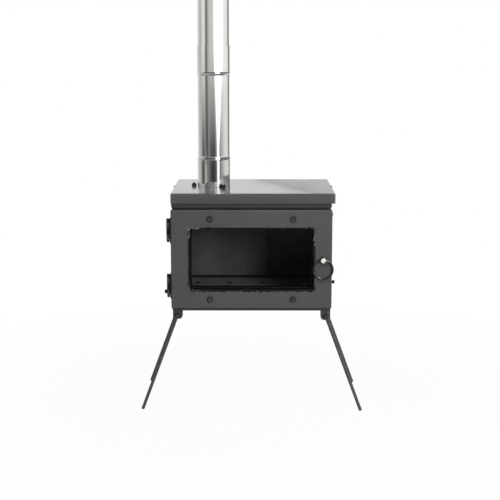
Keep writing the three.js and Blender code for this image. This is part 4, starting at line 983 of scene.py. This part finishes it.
def make_top_tape(material):
    """Fibre tape, pressed flat in the slit between the back panel's upper edge and the rail above it."""
    low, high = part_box("back_panel")
    floor, ceiling = high.z - 0.1 * MM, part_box("top_rail")[0].z + 0.1 * MM
    back = high.y - TAPE_INSET * MM
    front = back - TAPE_WIDTH * MM
    steps = 220
    vertices = []
    for i in range(steps + 1):
        x = low.x + (high.x - low.x) * i / steps
        bulge = (0.15 + 0.25 * noise.noise(Vector((x, 11.0, 0.0)) * 260.0)) * MM
        middle = (back + bulge, (floor + ceiling) / 2)
        section = [(front, floor), (back, floor), middle, (back, ceiling), (front, ceiling)]
        vertices += [Vector((x, y, z)) for y, z in section]
    tape = add_object("top_tape", vertices, skin(steps + 1, 5, outward=True), material, smooth=False)
    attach(tape, "root")


# ---- Light, world and floor ----

AMBIENT = 0.13
# Place, aim, size and power of each soft light. The key stands low, to the right of the camera, and
# shines through the glass on the back wall.
LIGHTS = {
    "key": ((1.16, -2.12, 0.84), (0.0, 0.0, 0.31), 0.7, 31.0),
    "above": ((0.35, -1.00, 2.10), (0.0, 0.0, 0.31), 0.9, 31.0),
    "left_fill": ((-1.8, -0.4, 1.1), (0.0, 0.0, 0.3), 0.9, 3.6),
    "back_fill": ((0.4, 2.0, 1.5), (0.0, 0.0, 0.3), 1.2, 12.0),
}


def make_lights():
    for name, (place, aim, size, power) in LIGHTS.items():
        data = bpy.data.lights.new(name, "AREA")
        data.energy = power
        data.size = size
        light = bpy.data.objects.new(name, data)
        light.location = place
        light.rotation_euler = (Vector(aim) - Vector(place)).to_track_quat("-Z", "Y").to_euler()
        light.visible_glossy = False
        light.visible_camera = False
        bpy.context.scene.collection.objects.link(light)


# What polished metal mirrors, by the direction's angle from straight ahead of the door (degrees, + to the
# right): its level at the height of the pipes' tops, lower down among the studio's stands, and at their feet
STUDIO = [
    (-180, 0.91, 0.90, 0.90),
    (-160, 0.88, 0.90, 0.90),
    (-140, 0.76, 0.68, 0.64),
    (-120, 0.58, 0.56, 0.54),
    (-102, 0.52, 0.47, 0.46),
    (-88, 0.74, 0.20, 0.16),
    (-78, 0.90, 0.08, 0.05),
    (-66, 0.78, 0.24, 0.24),
    (-55, 0.24, 0.14, 0.60),
    (-49, 0.16, 0.06, 0.34),
    (-41, 0.38, 0.12, 0.16),
    (-34, 0.54, 0.26, 0.22),
    (-28, 0.60, 0.20, 0.16),
    (-22, 0.66, 0.09, 0.07),
    (-15, 0.68, 0.12, 0.07),
    (-2, 0.66, 0.06, 0.04),
    (11, 0.80, 0.12, 0.07),
    (20, 0.90, 0.26, 0.14),
    (50, 0.92, 0.34, 0.24),
    (66, 1.10, 0.50, 0.42),
    (90, 0.96, 0.78, 0.74),
    (118, 0.90, 0.80, 0.78),
    (130, 0.38, 0.40, 0.60),
    (150, 0.10, 0.12, 0.20),
    (168, 0.95, 0.95, 0.95),
    (180, 0.91, 0.90, 0.90),
]
STUDIO_PEAK = 1.2  # above every level in the table
STUDIO_HEIGHTS = (-4.8, -0.1)  # degrees above the horizon at which the first two levels meet
STUDIO_FEET = (-5.1, -5.8)  # and the last two
SOFTBOX = {"turn": 34.0, "height": 40.0, "reach": 12.0, "level": 22.0}
# The white screen's sides, in degrees: where they stand at their foot and how far they spread at the top
SCREEN_SIDES = {"left": (30.0, 22.0), "right": (41.0, 32.0)}
# Levels of the rest: the white screen, the floor in front and further down, the dark above the front
# and the dark overhead
SCREEN, LOW_FRONT, FLOOR, ABOVE_FRONT, OVERHEAD = 1.6, 0.02, 0.75, 0.16, 0.10


def studio_ring(sky, place, level):
    """The studio's levels round the stove: 1 for the upper ones, 2 for the middle ones, 3 at the feet."""
    stops = []
    for stop in STUDIO:
        shade = stop[level] / STUDIO_PEAK
        stops.append(((stop[0] + 180) / 360, (shade, shade * 0.99, shade * 0.97)))
    return sky.ramp(place, stops)


def make_world():
    """The plain ambient light, the white behind the stove, and the studio that only polished metal shows."""
    world = bpy.data.worlds.new("studio")
    bpy.context.scene.world = world
    world.use_nodes = True
    sky = Nodes(world.node_tree)
    direction = sky.add("ShaderNodeTexCoord").outputs["Generated"]
    x, y, z = sky.split(direction)
    angle = sky.math("ARCTAN2", x, sky.math("MULTIPLY", y, -1.0))
    degrees = sky.math("MULTIPLY", angle, 180 / math.pi)
    place = sky.math("DIVIDE", sky.math("ADD", degrees, 180.0), 360.0)
    height = sky.math("MULTIPLY", sky.math("ARCSINE", z), 180 / math.pi)
    rise = sky.remap(height, *STUDIO_HEIGHTS, smooth=False)
    studio = sky.mix(rise, studio_ring(sky, place, 2), studio_ring(sky, place, 1))
    studio = sky.mix(sky.remap(height, *STUDIO_FEET), studio, studio_ring(sky, place, 3))
    studio = sky.add("ShaderNodeVectorMath", {0: studio, "Scale": STUDIO_PEAK}, operation="SCALE").outputs[0]
    # The white screen ahead, a little to the right: it narrows towards the floor
    left, right = SCREEN_SIDES["left"], SCREEN_SIDES["right"]
    left = sky.math("SUBTRACT", left[0], sky.math("MULTIPLY", rise, left[1]))
    right = sky.math("ADD", right[0], sky.math("MULTIPLY", rise, right[1]))
    after = sky.remap(sky.math("SUBTRACT", degrees, left), -9.0, 2.0)
    before = sky.remap(sky.math("SUBTRACT", right, degrees), -4.0, 4.0)
    screen = sky.product(after, before, sky.remap(height, -11.0, -7.5))
    studio = sky.mix(screen, studio, SCREEN)
    # Below the horizon in front lies the dark part of the studio's floor
    ahead = sky.remap(sky.math("ABSOLUTE", degrees), 95.0, 60.0)
    studio = sky.mix(sky.product(ahead, sky.remap(height, -7.5, -11.0)), studio, LOW_FRONT)
    studio = sky.mix(sky.remap(height, -13.0, -19.0), studio, FLOOR)
    wide = sky.product(sky.remap(degrees, -95.0, -60.0), sky.remap(degrees, 150.0, 120.0))
    studio = sky.mix(sky.product(wide, sky.remap(height, 3.0, 9.0)), studio, ABOVE_FRONT)
    # The screen's upper end, which the cooking top shows as a streak in front of the chimney
    streak = sky.product(sky.remap(degrees, 20.0, 30.0), sky.remap(degrees, 50.0, 40.0))
    streak = sky.product(streak, sky.remap(height, 3.0, 6.0), sky.remap(height, 19.0, 13.0))
    studio = sky.mix(streak, studio, SCREEN)
    # Overhead it is dark, apart from one softbox up on the right
    studio = sky.mix(sky.remap(height, 30.0, 48.0), studio, OVERHEAD)
    turn, tilt = math.radians(SOFTBOX["turn"]), math.radians(SOFTBOX["height"])
    aim = (math.sin(turn) * math.cos(tilt), -math.cos(turn) * math.cos(tilt), math.sin(tilt))
    towards = sky.add("ShaderNodeVectorMath", {0: direction, 1: aim}, operation="DOT_PRODUCT")
    edge = math.cos(math.radians(SOFTBOX["reach"]))
    softbox = sky.remap(towards.outputs["Value"], edge - 0.01, edge + 0.01)
    studio = sky.mix(softbox, studio, SOFTBOX["level"])

    rays = sky.add("ShaderNodeLightPath").outputs
    direct = sky.math("MAXIMUM", rays["Is Camera Ray"], rays["Is Transmission Ray"])
    colour = sky.mix(direct, sky.mix(rays["Is Glossy Ray"], AMBIENT, studio), 1.0)
    sky.add("ShaderNodeOutputWorld", {"Surface": sky.add("ShaderNodeBackground", {"Color": colour})})


FLOOR_RADIUS = 1.15
FLOOR_SHADE = 0.04  # the share of the floor's own shading that shows on its white


def make_floor():
    """A round pale floor that fades into the white background."""
    shader = Shader("floor")
    diffuse = shader.add("ShaderNodeBsdfDiffuse", {"Color": 0.50})
    glow = shader.add("ShaderNodeEmission", {"Color": 1.0})
    rays = shader.add("ShaderNodeLightPath").outputs
    seen = shader.math("MAXIMUM", rays["Is Camera Ray"], rays["Is Transmission Ray"])
    length = shader.add("ShaderNodeVectorMath", {0: shader.coordinates}, operation="LENGTH").outputs["Value"]
    white = shader.remap(length, FLOOR_RADIUS * 0.25, FLOOR_RADIUS * 0.85, 1.0 - FLOOR_SHADE, 1.0)
    surface = shader.blend(shader.product(seen, white), diffuse, glow)
    sides = 96
    rim = []
    for i in range(sides):
        angle = 2 * math.pi * i / sides
        rim.append((FLOOR_RADIUS * math.cos(angle), FLOOR_RADIUS * math.sin(angle), -0.0005))
    floor = add_object("floor", rim, [tuple(range(sides))], shader.finish(surface), smooth=False)


# ---- The stove ----

bpy.context.scene.view_settings.view_transform = "Standard"
make_camera()
make_world()
make_lights()
make_floor()

paint = make_paint("paint", PAINT_TONE)
top_paint = make_top_paint()
bare_steel = make_bare_steel()
ash_steel = make_ash_steel()
# Screws on the painted faces have a dull shine. The rims of their heads and their sockets are painted shade,
# in near-black. The rest is black oxide, and the latch ring is coated in gloss black.
screw_black = make_small_steel("screw_black", (240.0, 0.060, 0.097), (0.34, 0.46), (900.0, 0.00003, 0.4))
rim_and_socket_shade = make_small_steel("rim_and_socket_shade", (600.0, 0.005, 0.012), 0.7, (900.0, 0.00004, 0.5), specular=0.2)
stainless = make_stainless()
black_oxide = make_small_steel(
    "black_oxide", (240.0, 0.013, 0.029), (0.30, 0.42), (900.0, 0.00003, 0.4), metallic=0.6
)
black_wire = make_small_steel("black_wire", (180.0, 0.003, 0.008), 0.12, (500.0, 0.00003, 0.3), specular=1.0)
bright_steel = make_bright_steel()
black_fibre = make_fibre("black_fibre", 0.003, 0.013)
pale_fibre = make_fibre("pale_fibre", (0.60, 0.59, 0.57), (0.85, 0.84, 0.81))
glass = make_glass()

HALF_SHEET = Vector((1.0, 1.0, 1.0)) * MM
wrap_low, wrap_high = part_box("firebox_wrap")
cavity_low = Vector((wrap_low.x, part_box("front_frame")[0].y, wrap_low.z)) + HALF_SHEET
cavity_high = wrap_high - HALF_SHEET
grate_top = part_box("fire_grate")[1].z
cavity = (cavity_low, cavity_high)
# The band of painted shade along the walls, from just below the grate's top to a few millimetres above it
grate_line_shade = (
    (*cavity_low.xy, grate_top - 2.0 * MM),
    (*cavity_high.xy, grate_top + 3.4 * MM),
)
ash = ((0.110, 0.107, 0.105), (0.224, 0.218, 0.214))
soot = ((0.013, 0.013, 0.013), (0.027, 0.026, 0.025))
walls_paint = make_firebox_paint("walls_paint", PAINT_TONE, cavity, grate_line_shade, *ash)
# The front frame's outside tone is painted shade, where the door's lower edge shades its strip
frame_paint = make_firebox_paint("frame_paint", SHADED_TONE, cavity, grate_line_shade, *soot)
# The rail's darker tone is painted shade under the cooking top's overhang
rail_paint = make_paint("rail_paint", SHADED_TONE)

dress("firebox_wrap", walls_paint)
dress("back_panel", walls_paint)
dress("front_frame", frame_paint)
dress("top_rail", rail_paint, 0.3)
dress("top_plate", top_paint, 0.4)
dress("door_panel", paint, 0.4)
for node in ("air_shutter", "air_guide_upper", "air_guide_lower", "latch_keeper"):
    dress(node, paint, 0.25)
dress("fire_grate", ash_steel, 0.25)
for node in ("glass_clamp_upper", "glass_clamp_lower", "latch_cam", "flue_collar"):
    dress(node, bare_steel, 0.25)
dress("door_glass", glass, 0.4)

for level in ("lower", "upper"):
    dress(f"hinge_body_leaf_{level}", paint, 0.2)
    dress(f"hinge_door_leaf_{level}", black_oxide, 0.2)
    dress(f"hinge_bolt_{level}", black_oxide, 0.2)
    nut(f"hinge_nut_{level}", (0, 0, 1), 2.0, black_oxide)
    for hand in ("left", "right"):
        button_screw(f"door_screw_{level}_{hand}", (0, -1, 0), "M6", material=screw_black, rim=rim_and_socket_shade)

button_screw("frame_screw", (1, 0, 0), "M4", material=black_oxide)
button_screw("lid_screw_right", (1, 0, 0), "M4", LID_SCREW_HEAD, black_oxide)
button_screw("lid_screw_left", (-1, 0, 0), "M4", LID_SCREW_HEAD, black_oxide)
button_screw("hinge_lock_screw", (-1, 0, 0), "M4", LOCK_SCREW_HEAD, black_oxide)
button_screw("latch_screw", (0, -1, 0), "M5", material=bright_steel)
for number in (1, 2, 3):
    flue_bolt(f"flue_bolt_{number}", black_oxide)

make_chimney(stainless)
make_latch_ring(black_wire)
make_latch_washer(black_oxide)
nut("latch_nut", (0, 1, 0), 2.5, bare_steel)
dress("air_knob", black_oxide, 0.2)

for end in ("front", "back"):
    for hand in ("left", "right"):
        dress(f"leg_bracket_{end}_{hand}", paint, 0.25)
        make_leg_bolt(f"leg_bolt_{end}_{hand}", screw_black, rim_and_socket_shade)
        make_leg(f"leg_{end}_{hand}", f"leg_bolt_{end}_{hand}", paint)

make_gasket(black_fibre, pale_fibre)
make_rope(black_fibre)
make_top_tape(black_fibre)
